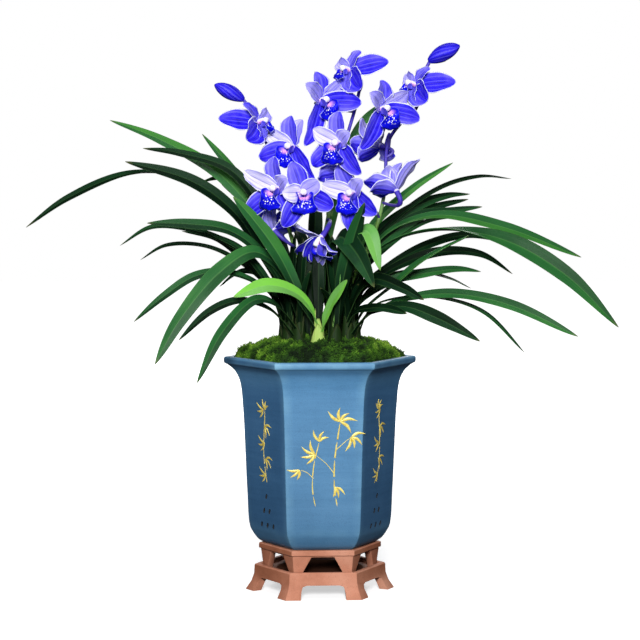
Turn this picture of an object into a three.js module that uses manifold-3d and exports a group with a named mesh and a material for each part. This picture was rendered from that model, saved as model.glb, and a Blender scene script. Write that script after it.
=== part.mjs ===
// A potted orchid in bloom, in millimetres, +Z up.
// A six-sided glazed pot on a foot ring and a footed stand holds gravel, bark and moss. Thirteen leaf growths
// and three flower spikes stand in it, and the spikes carry fifteen open blooms and two buds.
// The origin is on the pot's axis, level with the feet of the stand. The pot's front face looks along -Y.

import * as THREE from 'three';
import { mergeVertices } from 'three/addons/utils/BufferGeometryUtils.js';
import Module from 'manifold-3d';

const wasm = await Module();
wasm.setup();

// Clearance between pieces that touch
const GAP = 0.3;

// Stand, foot ring and pot: heights above the table, radii to the corners of the hexagon
const SIDES = 6;
const STAND_HEIGHT = 24;
const TRAY_FLOOR = 20;
const TRAY_RADIUS = 55;
const STAND_RADIUS = 61.5;
const FOOT_RADIUS = 70;
const STAND_ARCH = { width: 40, height: 12.5 };
const RING_RADIUS = 57.5;
const RING_TOP = 44;
const RING_LEDGE = 5.5;
const RING_OPENING = { top: 21, bottom: 41, height: 37.5 };
const POT_TOP = 219;
const RIM_RADIUS = 90;
const WAIST_RADIUS = 70;
const POT_FLOOR = 52;
const DRAIN_RADIUS = 10;
const GRAVEL_TOP = 82;
const MEDIUM_TOP = 205;
const MOSS_TOP = 238;

// Aeration slits, in a triangle of three rows on each slanted face
const SLIT = { width: 3.6, length: 6.5, pitch: 8.4, lowest: 64.5, row: 13.5, tilt: -25 };
const SLIT_FACES = [-30, 30, 150, 210];

// Crown of the plant: the leaf growths stand on a ring round the spikes
const CROWN_RADIUS = 32;
const SHEATH_RADIUS = 6;
const SHEATH_FOOT = 196;
const SHEATH_TOP = 258;
const LEAF_FOOT = 236;
const FAN_WIDTH = 6;
const STEM_RADIUS = 1.9;
const STEM_FOOT = 196;
const STEM_STEPS = 16;
const STEM_HOLE_RADIUS = 3.2;

const rad = THREE.MathUtils.degToRad;
const vec = (x, y, z) => new THREE.Vector3(x, y, z);
const polar = (radius, degrees, z = 0) => vec(radius * Math.cos(rad(degrees)), radius * Math.sin(rad(degrees)), z);

// Solids

function weld(geometry) {
  geometry.deleteAttribute('normal');
  geometry.deleteAttribute('uv');
  const welded = mergeVertices(geometry, 1e-4);
  const corners = welded.index.array;
  const kept = [];
  for (let i = 0; i < corners.length; i += 3) {
    const [a, b, c] = [corners[i], corners[i + 1], corners[i + 2]];
    if (a !== b && b !== c && c !== a) kept.push(a, b, c);
  }
  welded.setIndex(kept);
  return welded;
}

function solid(geometry) {
  const welded = weld(geometry);
  return new wasm.Manifold(new wasm.Mesh({
    numProp: 3,
    vertProperties: new Float32Array(welded.attributes.position.array),
    triVerts: new Uint32Array(welded.index.array),
  }));
}

function union(solids) {
  return solids.reduce((joined, piece) => joined.add(piece));
}

// The largest body of a solid, without scraps that a cut leaves loose
function mainBody(cut) {
  return cut.decompose().reduce((best, piece) => (piece.volume() > best.volume() ? piece : best));
}

const model = new THREE.Group();

function addPiece(name, piece, material) {
  const { vertProperties, triVerts } = piece.getMesh();
  const geometry = new THREE.BufferGeometry();
  geometry.setAttribute('position', new THREE.BufferAttribute(vertProperties, 3));
  geometry.setIndex(new THREE.BufferAttribute(triVerts, 1));
  geometry.computeVertexNormals();
  const mesh = new THREE.Mesh(geometry, new THREE.MeshStandardMaterial(material));
  mesh.name = name;
  model.add(mesh);
}

// A profile of [radius, height] corners turned about the axis, as a prism with flat faces
function turned(profile, sides = SIDES) {
  const points = profile.map(([radius, height]) => new THREE.Vector2(radius, height));
  const geometry = new THREE.LatheGeometry(points, sides, Math.PI / sides);
  return geometry.rotateX(Math.PI / 2);
}

function ring(profile) {
  return turned([...profile, profile[0]]);
}

// A round peg standing on the point (x, y)
function peg(x, y, radius, bottom, top, sides = SIDES) {
  const geometry = new THREE.CylinderGeometry(radius, radius, top - bottom, sides, 1, false, Math.PI / sides);
  return solid(geometry.rotateX(Math.PI / 2).translate(x, y, (bottom + top) / 2));
}

// A bar with the given outline, which looks along +Y and runs right through the object
function bar(outline, length, degrees) {
  const geometry = new THREE.ExtrudeGeometry(outline, { depth: length, bevelEnabled: false, curveSegments: 2 });
  return solid(geometry.translate(0, 0, -length / 2).rotateX(Math.PI / 2).rotateZ(rad(degrees)));
}

// A cylinder splits each step of a side into the triangles a b d and b c d. Here every other side is split along
// its other diagonal, so that the two faces of a thin twisted blade stay apart.
function mirrorDiagonals(geometry, sides, steps) {
  const corners = geometry.index;
  const cornersPerStep = 6;
  for (let side = 1; side < sides; side += 2) {
    for (let step = 0; step < steps; step++) {
      const first = cornersPerStep * (side * steps + step);
      const [a, b, c, d] = [first, first + 1, first + 4, first + 5].map((place) => corners.getX(place));
      [a, b, c, a, c, d].forEach((corner, i) => corners.setX(first + i, corner));
    }
  }
}

// A straight rod whose rings and sides are moved by place(x, z, t), where t runs from 0 to 1 along the rod
function shaped(sides, steps, place) {
  const geometry = new THREE.CylinderGeometry(1, 1, 1, sides, steps);
  mirrorDiagonals(geometry, sides, steps);
  const position = geometry.attributes.position;
  for (let i = 0; i < position.count; i++) {
    const point = place(position.getX(i), position.getZ(i), position.getY(i) + 0.5);
    position.setXYZ(i, point.x, point.y, point.z);
  }
  return solid(geometry);
}

// A keeled blade along a path: half(t) is half its width, and its edges rise by fold times that
function blade({ path, face, half, fold = 0.25, thick = 0.8, sides = 4, steps = 10 }) {
  return shaped(sides, steps, (x, z, t) => {
    const along = path.getTangentAt(t);
    const side = along.clone().cross(face(t)).normalize();
    const up = side.clone().cross(along);
    const reach = half(t);
    const depth = thick * Math.min(1, reach / thick);
    return path.getPointAt(t)
      .addScaledVector(side, x * reach)
      .addScaledVector(up, z * depth + Math.abs(x) * fold * reach);
  });
}

// A round rod along a path
function rod(path, radius, sides, steps) {
  const { normals, binormals } = path.computeFrenetFrames(steps);
  return shaped(sides, steps, (x, z, t) => {
    const ringPlace = Math.round(t * steps);
    return path.getPointAt(t)
      .addScaledVector(binormals[ringPlace], x * radius(t))
      .addScaledVector(normals[ringPlace], z * radius(t));
  });
}

// Pot, foot ring and stand

const TERRACOTTA = { color: 0xb4705a, roughness: 0.8, metalness: 0 };
const BLUE_GLAZE = { color: 0x3a6f98, roughness: 0.45, metalness: 0 };

function standArch() {
  const { width, height } = STAND_ARCH;
  const round = 5;
  const outline = new THREE.Shape();
  outline.moveTo(-width / 2 - 1, -1);
  outline.lineTo(width / 2 + 1, -1);
  outline.lineTo(width / 2, height - round);
  outline.quadraticCurveTo(width / 2, height, width / 2 - round, height);
  outline.lineTo(round - width / 2, height);
  outline.quadraticCurveTo(-width / 2, height, -width / 2, height - round);
  return outline;
}

function ringOpening() {
  const { top, bottom, height } = RING_OPENING;
  const outline = new THREE.Shape();
  outline.moveTo(-bottom / 2, TRAY_FLOOR - 1);
  outline.lineTo(bottom / 2, TRAY_FLOOR - 1);
  outline.lineTo(top / 2, height);
  outline.lineTo(-top / 2, height);
  return outline;
}

// Both outlines are cut through opposite faces of a hexagon, so three bars open all six
function cutFaces(body, outline) {
  const reach = 3 * FOOT_RADIUS;
  return [0, 60, 120].reduce((cut, degrees) => cut.subtract(bar(outline, reach, degrees)), body);
}

function stand() {
  const underside = 14.5;
  const body = solid(turned([
    [0, underside], [48, underside], [54, 11.5], [60, 0], [FOOT_RADIUS, 0], [64.5, 8], [62, 15],
    [STAND_RADIUS, STAND_HEIGHT - 1], [STAND_RADIUS - 1, STAND_HEIGHT],
    [TRAY_RADIUS + 1.5, STAND_HEIGHT], [TRAY_RADIUS, TRAY_FLOOR], [0, TRAY_FLOOR],
  ]));
  return cutFaces(body, standArch());
}

function footRing() {
  const foot = TRAY_FLOOR + GAP;
  const top = RING_TOP;
  const ledge = top - RING_LEDGE;
  const body = solid(ring([
    [46, foot], [53, foot], [55.5, ledge], [RING_RADIUS, ledge + 0.6], [RING_RADIUS, top - 0.6],
    [RING_RADIUS - 0.6, top], [36, top], [36, ledge], [48.5, ledge],
  ]));
  return cutFaces(body, ringOpening());
}

// The pot's outer side from its foot to the lip, and its inner side from the lip to the floor
const POT_OUTER = [
  [53, RING_TOP + GAP], [58, 47.5], [63, 54], [66, 60.5], [WAIST_RADIUS, 130], [72, 170],
  [75, 196], [80, 206], [87, 212], [RIM_RADIUS - 0.6, 213], [RIM_RADIUS, 214.5], [RIM_RADIUS, 218],
  [RIM_RADIUS - 1.2, POT_TOP],
];
const POT_INNER = [[82, POT_TOP], [78, 213], [71, 204], [67, 192], [64.5, 160], [59, 60.5], [52, POT_FLOOR]];

function slit(face, across, height) {
  const half = SLIT.width / 2;
  const straight = SLIT.length / 2;
  const outline = new THREE.Shape();
  outline.moveTo(half, -half);
  outline.lineTo(half, straight);
  outline.lineTo(-half, half);
  outline.lineTo(-half, -straight);
  const geometry = new THREE.ExtrudeGeometry(outline, { depth: 60, bevelEnabled: false });
  geometry.rotateZ(rad(SLIT.tilt)).rotateX(Math.PI / 2).translate(across, 0, height);
  geometry.translate(0, -30, 0).rotateZ(rad(face + 90));
  return solid(geometry);
}

function pot() {
  const profile = [[0, RING_TOP + GAP], ...POT_OUTER, ...POT_INNER, [0, POT_FLOOR]];
  let body = solid(turned(profile)).subtract(peg(0, 0, DRAIN_RADIUS, 40, 60, 12));
  for (const face of SLIT_FACES) {
    for (let row = 0; row < 3; row++) {
      for (let i = 0; i <= row; i++) {
        const across = (i - row / 2) * SLIT.pitch * (1 + row * 0.1);
        body = body.subtract(slit(face, across, SLIT.lowest + (2 - row) * SLIT.row));
      }
    }
  }
  return body;
}

// What fills the pot

// Radius to a corner of the pot's inside at a height, less the clearance
function innerRadius(height) {
  const index = POT_INNER.findIndex(([, level]) => level <= height);
  const [upper, lower] = [POT_INNER[Math.max(index - 1, 0)], POT_INNER[index]];
  const share = (height - lower[1]) / Math.max(upper[1] - lower[1], 1e-6);
  return lower[0] + Math.min(share, 1) * (upper[0] - lower[0]) - 1.3 * GAP;
}

function fill(bottom, top) {
  const levels = [bottom, ...POT_INNER.map(([, level]) => level).reverse(), top];
  const wall = levels.filter((level) => level >= bottom && level <= top);
  const profile = [...new Set(wall)].map((level) => [innerRadius(level), level]);
  return solid(turned([[0, bottom], ...profile, [0, top]]));
}

// Distance to the side of a hexagon with a corner radius of 1, at an angle from a corner
function hexagon(angle) {
  const step = Math.PI / 3;
  const offset = ((angle % step) + step) % step - step / 2;
  return Math.cos(step / 2) / Math.cos(offset);
}

function mossBumps(x, y) {
  const broad = Math.sin(x * 0.16 + 0.8) * Math.sin(y * 0.19 + 2.1);
  const tufts = Math.sin(x * 0.47 + y * 0.21) * Math.sin(y * 0.43 - x * 0.18 + 1.2);
  return 1.4 * broad + 1.1 * tufts;
}

function moss() {
  const foot = MEDIUM_TOP + GAP;
  const edge = POT_TOP - 1;
  const mound = [[76.5, 224], [66, 229.5], [54, 232.5], [41, 235.5], [27, 237.5], [13, MOSS_TOP - 0.2]];
  const profile = [[0, foot], [innerRadius(foot), foot], [innerRadius(edge), edge], ...mound, [0, MOSS_TOP]];
  const geometry = turned(profile, 20);
  const position = geometry.attributes.position;
  for (let i = 0; i < position.count; i++) {
    const [x, y, z] = [position.getX(i), position.getY(i), position.getZ(i)];
    const scale = hexagon(Math.atan2(y, x));
    const lift = z > edge + 1 ? mossBumps(x, y) : 0;
    position.setXYZ(i, x * scale, y * scale, z + lift);
  }
  return solid(geometry);
}

// Leaf growths: seat is the growth's angle round the crown. Each leaf has its heading in degrees from +X, its
// width, the roll of its upper face towards the front, and the arch it follows as [distance out, height] points.
// A twist gives the shares of the length between which a leaf takes up its roll.

const GROWTHS = [
  { name: 'growth_front', seat: 264, leaves: [
    { heading: 192, width: 17, roll: 75, arch: [[14, 268], [37, 314], [61, 347], [80, 368]] },
    { heading: 204, width: 14, roll: 60, arch: [[8, 266], [22, 282], [51, 290], [86, 279]] },
    { heading: -36, width: 11, roll: 80, arch: [[10, 262], [19, 277], [30, 294]] },
  ] },
  { name: 'growth_front_left', seat: 230, leaves: [
    { heading: 207, width: 9, roll: 45, arch: [[28, 263], [60, 274], [92, 265], [124, 240]] },
    { heading: 222, width: 11, roll: 60, arch: [[27, 268], [56, 275], [97, 247], [127, 204]] },
  ] },
  { name: 'growth_left_front', seat: 204, leaves: [
    { heading: 203, width: 17, roll: 65, arch: [[9, 298], [35, 317], [70, 299], [111, 255], [134, 217]] },
    { heading: 193, width: 13, roll: 60, arch: [[8, 286], [31, 319], [58, 337], [97, 343], [134, 344]] },
    { heading: 197, width: 10, roll: 45, arch: [[20, 279], [58, 298], [89, 296], [120, 278], [149, 255]] },
  ] },
  { name: 'growth_left', seat: 178, leaves: [
    { heading: 185, width: 15, roll: 60, arch: [[6, 281], [26, 321], [50, 355], [88, 382], [149, 400]] },
    { heading: 189, width: 9, roll: 55, arch: [[13, 281], [43, 319], [74, 335]] },
    { heading: 180, width: 8, roll: 40, arch: [[13, 281], [50, 322], [93, 338], [125, 339], [154, 322]] },
    { heading: 173, width: 11, roll: 55, twist: [0.5, 0.8],
      arch: [[6, 281], [35, 344], [89, 383], [144, 389], [204, 366], [245, 338]] },
  ] },
  { name: 'growth_left_back', seat: 152, leaves: [
    { heading: 163, width: 11, roll: 60, arch: [[4, 280], [20, 342], [55, 391], [106, 408], [144, 413]] },
    { heading: 171, width: 8, roll: 47, arch: [[12, 270], [39, 304], [68, 327], [102, 335]] },
    { heading: 167, width: 7, roll: 35, arch: [[12, 270], [39, 300], [79, 320], [118, 321], [144, 307]] },
  ] },
  { name: 'growth_back_left', seat: 126, leaves: [
    { heading: 155, width: 13, roll: 60, arch: [[9, 279], [28, 328], [80, 387], [143, 421], [199, 441]] },
    { heading: 150, width: 11, roll: 50, arch: [[5, 279], [23, 334], [52, 370], [79, 385], [106, 381]] },
    { heading: 145, width: 9, roll: 55, arch: [[3, 279], [27, 331], [66, 365], [88, 379]] },
    { heading: 138, width: 10, roll: 57, arch: [[3, 279], [25, 330], [84, 394], [122, 428]] },
    { heading: 161, width: 8, roll: 40, arch: [[14, 265], [37, 293], [57, 296], [79, 281]] },
  ] },
  { name: 'growth_back', seat: 98, leaves: [
    { heading: 38.5, width: 13, roll: 40, arch: [[8, 280], [28, 362], [63, 435], [126, 470]] },
    { heading: 84, width: 15, roll: 20, arch: [[8, 290], [24, 340], [52, 366], [76, 358]] },
    { heading: 112, width: 14, roll: 0, arch: [[8, 285], [26, 325], [56, 340], [86, 318]] },
  ] },
  { name: 'growth_back_right', seat: 70, leaves: [
    { heading: 30, width: 13, roll: 47, arch: [[12, 279], [41, 320], [98, 356], [138, 367], [166, 369]] },
    { heading: 31, width: 9, roll: 55, arch: [[13, 279], [46, 335], [98, 375], [147, 400]] },
    { heading: 28, width: 11, roll: 47, arch: [[15, 279], [47, 321], [93, 349], [127, 358], [160, 364]] },
    { heading: 23, width: 8, roll: 25, arch: [[16, 279], [52, 330], [117, 374], [162, 386], [200, 384]] },
  ] },
  { name: 'growth_right_back', seat: 42, leaves: [
    { heading: 21, width: 13, roll: 50, arch: [[6, 279], [38, 321], [80, 348], [114, 353], [148, 357]] },
    { heading: 17, width: 7, roll: 40, arch: [[6, 279], [41, 317], [84, 343], [120, 348], [144, 347]] },
    { heading: 14, width: 11, roll: 45, arch: [[8, 270], [45, 301], [82, 320], [123, 330], [159, 324]] },
    { heading: 10, width: 14, roll: 60, twist: [0.3, 0.65],
      arch: [[7, 279], [40, 331], [89, 349], [159, 337], [237, 308]] },
  ] },
  { name: 'growth_right', seat: 14, leaves: [
    { heading: 9, width: 7, roll: 27, arch: [[6, 267], [33, 292], [65, 296], [94, 290], [116, 280]] },
    { heading: 4, width: 12, roll: 45, arch: [[3, 271], [30, 295], [77, 314], [121, 313], [153, 294]] },
    { heading: 0, width: 12, roll: 45, arch: [[6, 266], [37, 288], [72, 296], [101, 299], [121, 297]] },
    { heading: -5, width: 20, roll: 65, twist: [0.4, 0.7],
      arch: [[2, 280], [26, 319], [76, 336], [141, 327], [198, 295], [249, 245]] },
  ] },
  { name: 'growth_right_front', seat: -14, leaves: [
    { heading: -10, width: 12, roll: 20, arch: [[9, 261], [35, 284], [66, 310], [107, 332]] },
    { heading: -16, width: 6, roll: 35, arch: [[17, 265], [53, 275], [85, 274], [123, 261], [160, 225]] },
    { heading: -24, width: 13, roll: 50, arch: [[10, 254], [42, 271], [92, 279], [150, 270], [214, 243]] },
  ] },
  { name: 'growth_front_right', seat: -42, leaves: [
    { heading: -32, width: 14, roll: 50, arch: [[22, 259], [56, 268], [91, 259], [135, 239]] },
    { heading: -38, width: 14, roll: 50, arch: [[11, 277], [28, 292], [60, 285], [84, 275]] },
    { heading: -47, width: 11, roll: 50, arch: [[9, 260], [30, 266], [53, 266], [74, 263]] },
  ] },
  { name: 'growth_front_centre', seat: -68, leaves: [
    { heading: -56, width: 17, roll: -20, arch: [[11, 287], [26, 326], [44, 363]] },
    { heading: -36, width: 18, roll: 32, arch: [[7, 287], [18, 326], [34, 337], [49, 301]] },
    { heading: -60, width: 21, roll: 38, arch: [[-1, 286], [-6, 318], [8, 331], [34, 318], [64, 287]] },
  ] },
];

const LEAF_GREEN = { color: 0x2f6b2c, roughness: 0.45, metalness: 0 };

// Share of the full width along a strap leaf: a narrow foot, widest beyond the middle, then a pointed tip
function leafShare(t) {
  const rise = THREE.MathUtils.smoothstep(t, 0.05, 0.65);
  return (0.42 + 0.58 * rise) * Math.pow(1 - Math.pow(t, 6), 0.8);
}

function leaf({ x, y }, { heading, width, roll, twist = [0, 0.35], arch }, foot) {
  const out = polar(1, heading);
  const points = [[foot, LEAF_FOOT], ...arch];
  const path = new THREE.CatmullRomCurve3(
    points.map(([reach, height]) => vec(x + out.x * reach, y + out.y * reach, height)),
  );
  const front = out.x < 0 ? vec(-out.y, out.x, 0) : vec(out.y, -out.x, 0);
  return blade({
    path,
    face: (t) => {
      const along = path.getTangentAt(t);
      const upper = vec(-out.x * along.z, -out.y * along.z, along.dot(out)).normalize();
      const turn = rad(roll) * THREE.MathUtils.smoothstep(t, ...twist);
      return upper.multiplyScalar(Math.cos(turn)).addScaledVector(front, Math.sin(turn));
    },
    half: (t) => leafShare(t) * width / 2,
    steps: 2 * arch.length - 1,
  });
}

function sheath({ x, y }) {
  const radius = SHEATH_RADIUS;
  const profile = [
    [0, SHEATH_FOOT], [radius, SHEATH_FOOT], [radius, 244], [radius * 0.9, 250], [0, SHEATH_TOP],
  ];
  return solid(turned(profile).translate(x, y, 0));
}

const growthSeats = GROWTHS.map(({ seat }) => polar(CROWN_RADIUS, seat));

// The leaves of a growth stand one behind the other in its sheath, and the outermost leans out the most
function growth({ leaves }, seat) {
  const lean = ({ arch: [[reach, height]] }) => reach / (height - LEAF_FOOT);
  const fan = [...leaves].sort((a, b) => lean(a) - lean(b));
  const blades = fan.map((entry, i) => leaf(seat, entry, FAN_WIDTH * (i / (fan.length - 1) - 0.5)));
  return mainBody(union([sheath(seat), ...blades]));
}

// Flower spikes: points on each stem's centre line, and the heights of its bracts

const SPIKES = {
  left: {
    points: [[-9, 0, STEM_FOOT], [-9, 0, 240], [-11, -3, 290], [-24, -6, 320], [-36, -10, 365], [-49, -14, 414],
      [-60, -16, 441], [-71, -18, 456]],
    bracts: [300, 350, 390],
  },
  centre: {
    points: [[0, 9, STEM_FOOT], [0, 9, 240], [-1, 7, 290], [4, 4, 330], [14, 0, 374], [24, -4, 420], [33, -7, 452],
      [36, -9, 466]],
    bracts: [305, 352, 388],
  },
  right: {
    points: [[11, -4, STEM_FOOT], [11, -4, 236], [31, -3, 292], [52, -3, 338], [60, -5, 374], [63, -6, 418],
      [75, -7, 436], [89, -8, 450], [90, -8, 470], [101, -8, 492]],
    bracts: [305, 376, 414],
  },
};

const STEM_PURPLE = { color: 0x4a3f9a, roughness: 0.5, metalness: 0 };

for (const spike of Object.values(SPIKES)) {
  spike.path = new THREE.CatmullRomCurve3(spike.points.map(([x, y, z]) => vec(x, y, z)));
}

// The point of a rising path at a height
function atHeight(path, height) {
  let [low, high] = [0, 1];
  for (let i = 0; i < 30; i++) {
    const middle = (low + high) / 2;
    if (path.getPointAt(middle).z < height) low = middle;
    else high = middle;
  }
  return { t: low, point: path.getPointAt(low), along: path.getTangentAt(low) };
}

// A pointed bract that clasps the stem and stands away from it at its tip
function bract(path, height, degrees) {
  const { point, along } = atHeight(path, height);
  const out = polar(1, degrees);
  const curve = new THREE.QuadraticBezierCurve3(
    point.clone(),
    point.clone().addScaledVector(along, 6).addScaledVector(out, 1.6),
    point.clone().addScaledVector(along, 12).addScaledVector(out, 5),
  );
  return blade({
    path: curve,
    face: () => out.clone().negate(),
    half: (t) => 2.6 * Math.sqrt(Math.max(0, 1 - t * t)),
    thick: 0.9,
    steps: 2,
  });
}

function stem(path, radius) {
  const section = new THREE.Shape();
  section.absarc(0, 0, radius, 0, 2 * Math.PI);
  return solid(new THREE.ExtrudeGeometry(section, { steps: STEM_STEPS, extrudePath: path, curveSegments: 3 }));
}

function spike({ path, bracts }) {
  const leaves = bracts.map((height, i) => bract(path, height, 160 * i - 60));
  return union([stem(path, STEM_RADIUS), ...leaves]);
}

// Blooms. Each has its centre, the heading and pitch that it faces, the height on its spike at which its
// pedicel starts, and five tepals as [angle, length, lean]. The angle is taken round the face of the bloom, as
// its viewer sees it from the right and up over the top, and the lean is forward out of that face.

const BLOOMS = [
  { spike: 'left', at: [-58, -37, 435], facing: [-35, 8], joint: 446,
    tepals: [[144, 29, 5], [45, 18, 15], [274, 16, 5], [168, 39, -33], [220, 24, -5]] },
  { spike: 'left', at: [-27, -40, 413], facing: [-130, 0], joint: 410,
    tepals: [[91, 29, 8], [151, 31, 14], [74, 27, -6], [198, 34, 22], [307, 41, 2]] },
  { spike: 'left', at: [-41, -52, 375], facing: [-130, -2], joint: 372,
    tepals: [[93, 28, 8], [148, 35, 28], [30, 22, 25], [215, 42, 9], [308, 22, 0]] },
  { spike: 'left', at: [-20, -60, 372], facing: [-80, -5], joint: 340,
    tepals: [[111, 25, 6], [180, 20, 18], [35, 18, 16], [335, 33, 2], [242, 35, 2]] },
  { spike: 'left', at: [-44, -19, 337], facing: [150, 32], joint: 322,
    tepals: [[56, 30, 15], [25, 34, 25], [155, 31, 20], [358, 18, 28], [171, 34, -10]] },
  { spike: 'centre', at: [25, -26, 483], facing: [219, 6], joint: 464,
    tepals: [[56, 22, 0], [143, 16, 15], [274, 20, 5], [19, 38, -33], [310, 23, -5]] },
  { spike: 'centre', at: [-1, -31, 455], facing: [-52, 2], joint: 446,
    tepals: [[107, 28, 8], [38, 32, 11], [151, 31, 20], [357, 39, 28], [240, 48, 6]] },
  { spike: 'centre', at: [15, -50, 416], facing: [-128, -2], joint: 404,
    tepals: [[87, 27, 8], [149, 28, 24], [32, 21, 25], [308, 35, 2], [217, 33, 14]] },
  { spike: 'centre', at: [19, -26, 391], facing: [150, 8], joint: 376,
    tepals: [[120, 19, 0], [345, 29, 25], [160, 21, -10], [306, 22, 25], [219, 28, 0]] },
  { spike: 'centre', at: [-1, -44, 331], facing: [196, -57], joint: 346,
    tepals: [[123, 31, 0], [179, 43, 30], [319, 18, 20], [218, 36, 36], [201, 37, 36]] },
  { spike: 'right', at: [86, -20, 470], facing: [210, 8], joint: 474,
    tepals: [[39, 25, 0], [133, 16, 15], [276, 18, 3], [10, 40, -33], [320, 24, -5]] },
  { spike: 'right', at: [53, -48, 447], facing: [-52, 0], joint: 432,
    tepals: [[94, 27, 8], [29, 32, 14], [146, 27, 20], [345, 38, 28], [232, 47, 6]] },
  { spike: 'right', at: [56, 4, 414], facing: [150, 0], joint: 404,
    tepals: [[116, 20, 0], [40, 40, 10], [205, 24, -10], [5, 35, 30], [337, 29, 25]] },
  { spike: 'right', at: [68, -33, 373], facing: [130, 45], joint: 362,
    tepals: [[107, 27, 45], [54, 26, 45], [103, 38, 10], [1, 35, 25], [354, 29, 12]] },
  { spike: 'right', at: [28, -50, 371], facing: [-128, -3], joint: 348,
    tepals: [[114, 28, 8], [163, 31, 24], [42, 21, 25], [322, 31, 2], [266, 36, 6]] },
];

const SEPAL_WIDTH = 15;
const PETAL_WIDTH = 13;
const TEPAL_BLUE = { color: 0x3b34e0, roughness: 0.5, metalness: 0 };
const LIP_BLUE = { color: 0x1c14c8, roughness: 0.45, metalness: 0 };

function bloomAxes([heading, pitch]) {
  const forward = polar(Math.cos(rad(pitch)), heading, Math.sin(rad(pitch)));
  const right = vec(0, 0, 1).cross(forward).normalize();
  return { forward, right, up: forward.clone().cross(right) };
}

function tepal(centre, { forward, right, up }, [angle, length, lean], width) {
  const away = right.clone().multiplyScalar(Math.cos(rad(angle))).addScaledVector(up, Math.sin(rad(angle)));
  const reach = (out, lift) => centre.clone().addScaledVector(away, out).addScaledVector(forward, lift);
  const run = length * Math.cos(rad(lean));
  const rise = length * Math.sin(rad(lean));
  const path = new THREE.QuadraticBezierCurve3(reach(2, 0), reach(run * 0.55, rise * 0.55 + 3), reach(run, rise));
  const plane = forward.clone().multiplyScalar(Math.cos(rad(lean))).addScaledVector(away, -Math.sin(rad(lean)));
  return blade({
    path,
    face: () => plane,
    half: (t) => Math.sin(Math.PI * (0.06 + 0.94 * t)) * width / 2,
    fold: 0.22,
    thick: 0.7,
    steps: 4,
  });
}

function column(centre, { forward, up }) {
  const curve = new THREE.QuadraticBezierCurve3(
    centre.clone().addScaledVector(forward, -1),
    centre.clone().addScaledVector(forward, 5).addScaledVector(up, 1.8),
    centre.clone().addScaledVector(forward, 9).addScaledVector(up, -0.2),
  );
  return rod(curve, (t) => 2.2 + 0.8 * t, 5, 2);
}

// The ovary behind the bloom and the pedicel that carries it to its spike
function pedicel(centre, { forward }, foot) {
  const back = centre.clone().addScaledVector(forward, -13).addScaledVector(vec(0, 0, 1), -1.5);
  const curve = new THREE.CatmullRomCurve3([centre.clone().addScaledVector(forward, -0.5), back, foot]);
  return rod(curve, (t) => (t < 0.45 ? 2.1 : 1.5), 5, 4);
}

function bloom({ spike: name, at, facing, joint, tepals }) {
  const centre = vec(...at);
  const axes = bloomAxes(facing);
  const { path } = SPIKES[name];
  const clearance = rod(path, () => (STEM_RADIUS + GAP) / Math.cos(Math.PI / SIDES), SIDES, STEM_STEPS);
  const width = (i) => (i === 1 || i === 2 ? PETAL_WIDTH : SEPAL_WIDTH);
  const pieces = tepals.map((entry, i) => tepal(centre, axes, entry, width(i)));
  const joined = union([...pieces, column(centre, axes), pedicel(centre, axes, atHeight(path, joint).point)]);
  return mainBody(joined.subtract(clearance));
}

// The lip: side lobes that stand up beside the column, a waist, and a rounded middle lobe that curls down
const LIP_HALF_WIDTHS = [2.4, 6.4, 7, 6, 8.4, 10, 7.6, 0];

function lipHalf(t) {
  const place = t * (LIP_HALF_WIDTHS.length - 1);
  const step = Math.min(Math.floor(place), LIP_HALF_WIDTHS.length - 2);
  return THREE.MathUtils.lerp(LIP_HALF_WIDTHS[step], LIP_HALF_WIDTHS[step + 1], place - step);
}

function lip({ at, facing }) {
  const centre = vec(...at);
  const { forward, up } = bloomAxes(facing);
  const reach = (out, drop) => centre.clone().addScaledVector(forward, out).addScaledVector(up, -drop);
  const path = new THREE.CatmullRomCurve3([reach(3.4, 4.6), reach(9, 5.4), reach(14.5, 9), reach(14, 19)]);
  return blade({
    path,
    face: (t) => up.clone().multiplyScalar(1 - t).addScaledVector(forward, t),
    half: lipHalf,
    fold: 0.3,
    thick: 0.8,
    steps: LIP_HALF_WIDTHS.length - 1,
  });
}

// A closed bud: a pointed oval with six sides
function bud(from, to, radius) {
  const path = new THREE.LineCurve3(vec(...from), vec(...to));
  return rod(path, (t) => 1.6 * (1 - t) + radius * Math.pow(Math.sin(Math.PI * Math.pow(t, 0.85)), 0.8), 6, 6);
}

const BUDS = [
  { name: 'bud_left', from: [-72.4, -18.2, 457], to: [-98, -20, 470], radius: 5.6 },
  { name: 'bud_right', from: [101.6, -8.2, 493.2], to: [129, -10, 507], radius: 6.4 },
];

// The whole object

addPiece('stand', stand(), TERRACOTTA);
addPiece('foot_ring', footRing(), TERRACOTTA);
addPiece('pot', pot(), BLUE_GLAZE);
addPiece('drainage_gravel', fill(POT_FLOOR + GAP, GRAVEL_TOP), { color: 0x8f8578, roughness: 0.95, metalness: 0 });

const seatHoles = growthSeats.map(({ x, y }) => peg(x, y, SHEATH_RADIUS + 2 * GAP, SHEATH_FOOT - GAP, 250));
const stemHoles = Object.values(SPIKES).map(({ points: [[x, y]] }) => (
  peg(x, y, STEM_HOLE_RADIUS, STEM_FOOT - GAP, 250)
));
const holes = union([...seatHoles, ...stemHoles]);
addPiece('bark_medium', fill(GRAVEL_TOP + GAP, MEDIUM_TOP).subtract(holes), {
  color: 0x4a3423, roughness: 0.95, metalness: 0,
});
addPiece('moss', mainBody(moss().subtract(holes)), { color: 0x5c8a1f, roughness: 1, metalness: 0 });

GROWTHS.forEach((entry, i) => addPiece(entry.name, growth(entry, growthSeats[i]), LEAF_GREEN));
for (const [name, entry] of Object.entries(SPIKES)) addPiece(`spike_${name}`, spike(entry), STEM_PURPLE);

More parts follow.
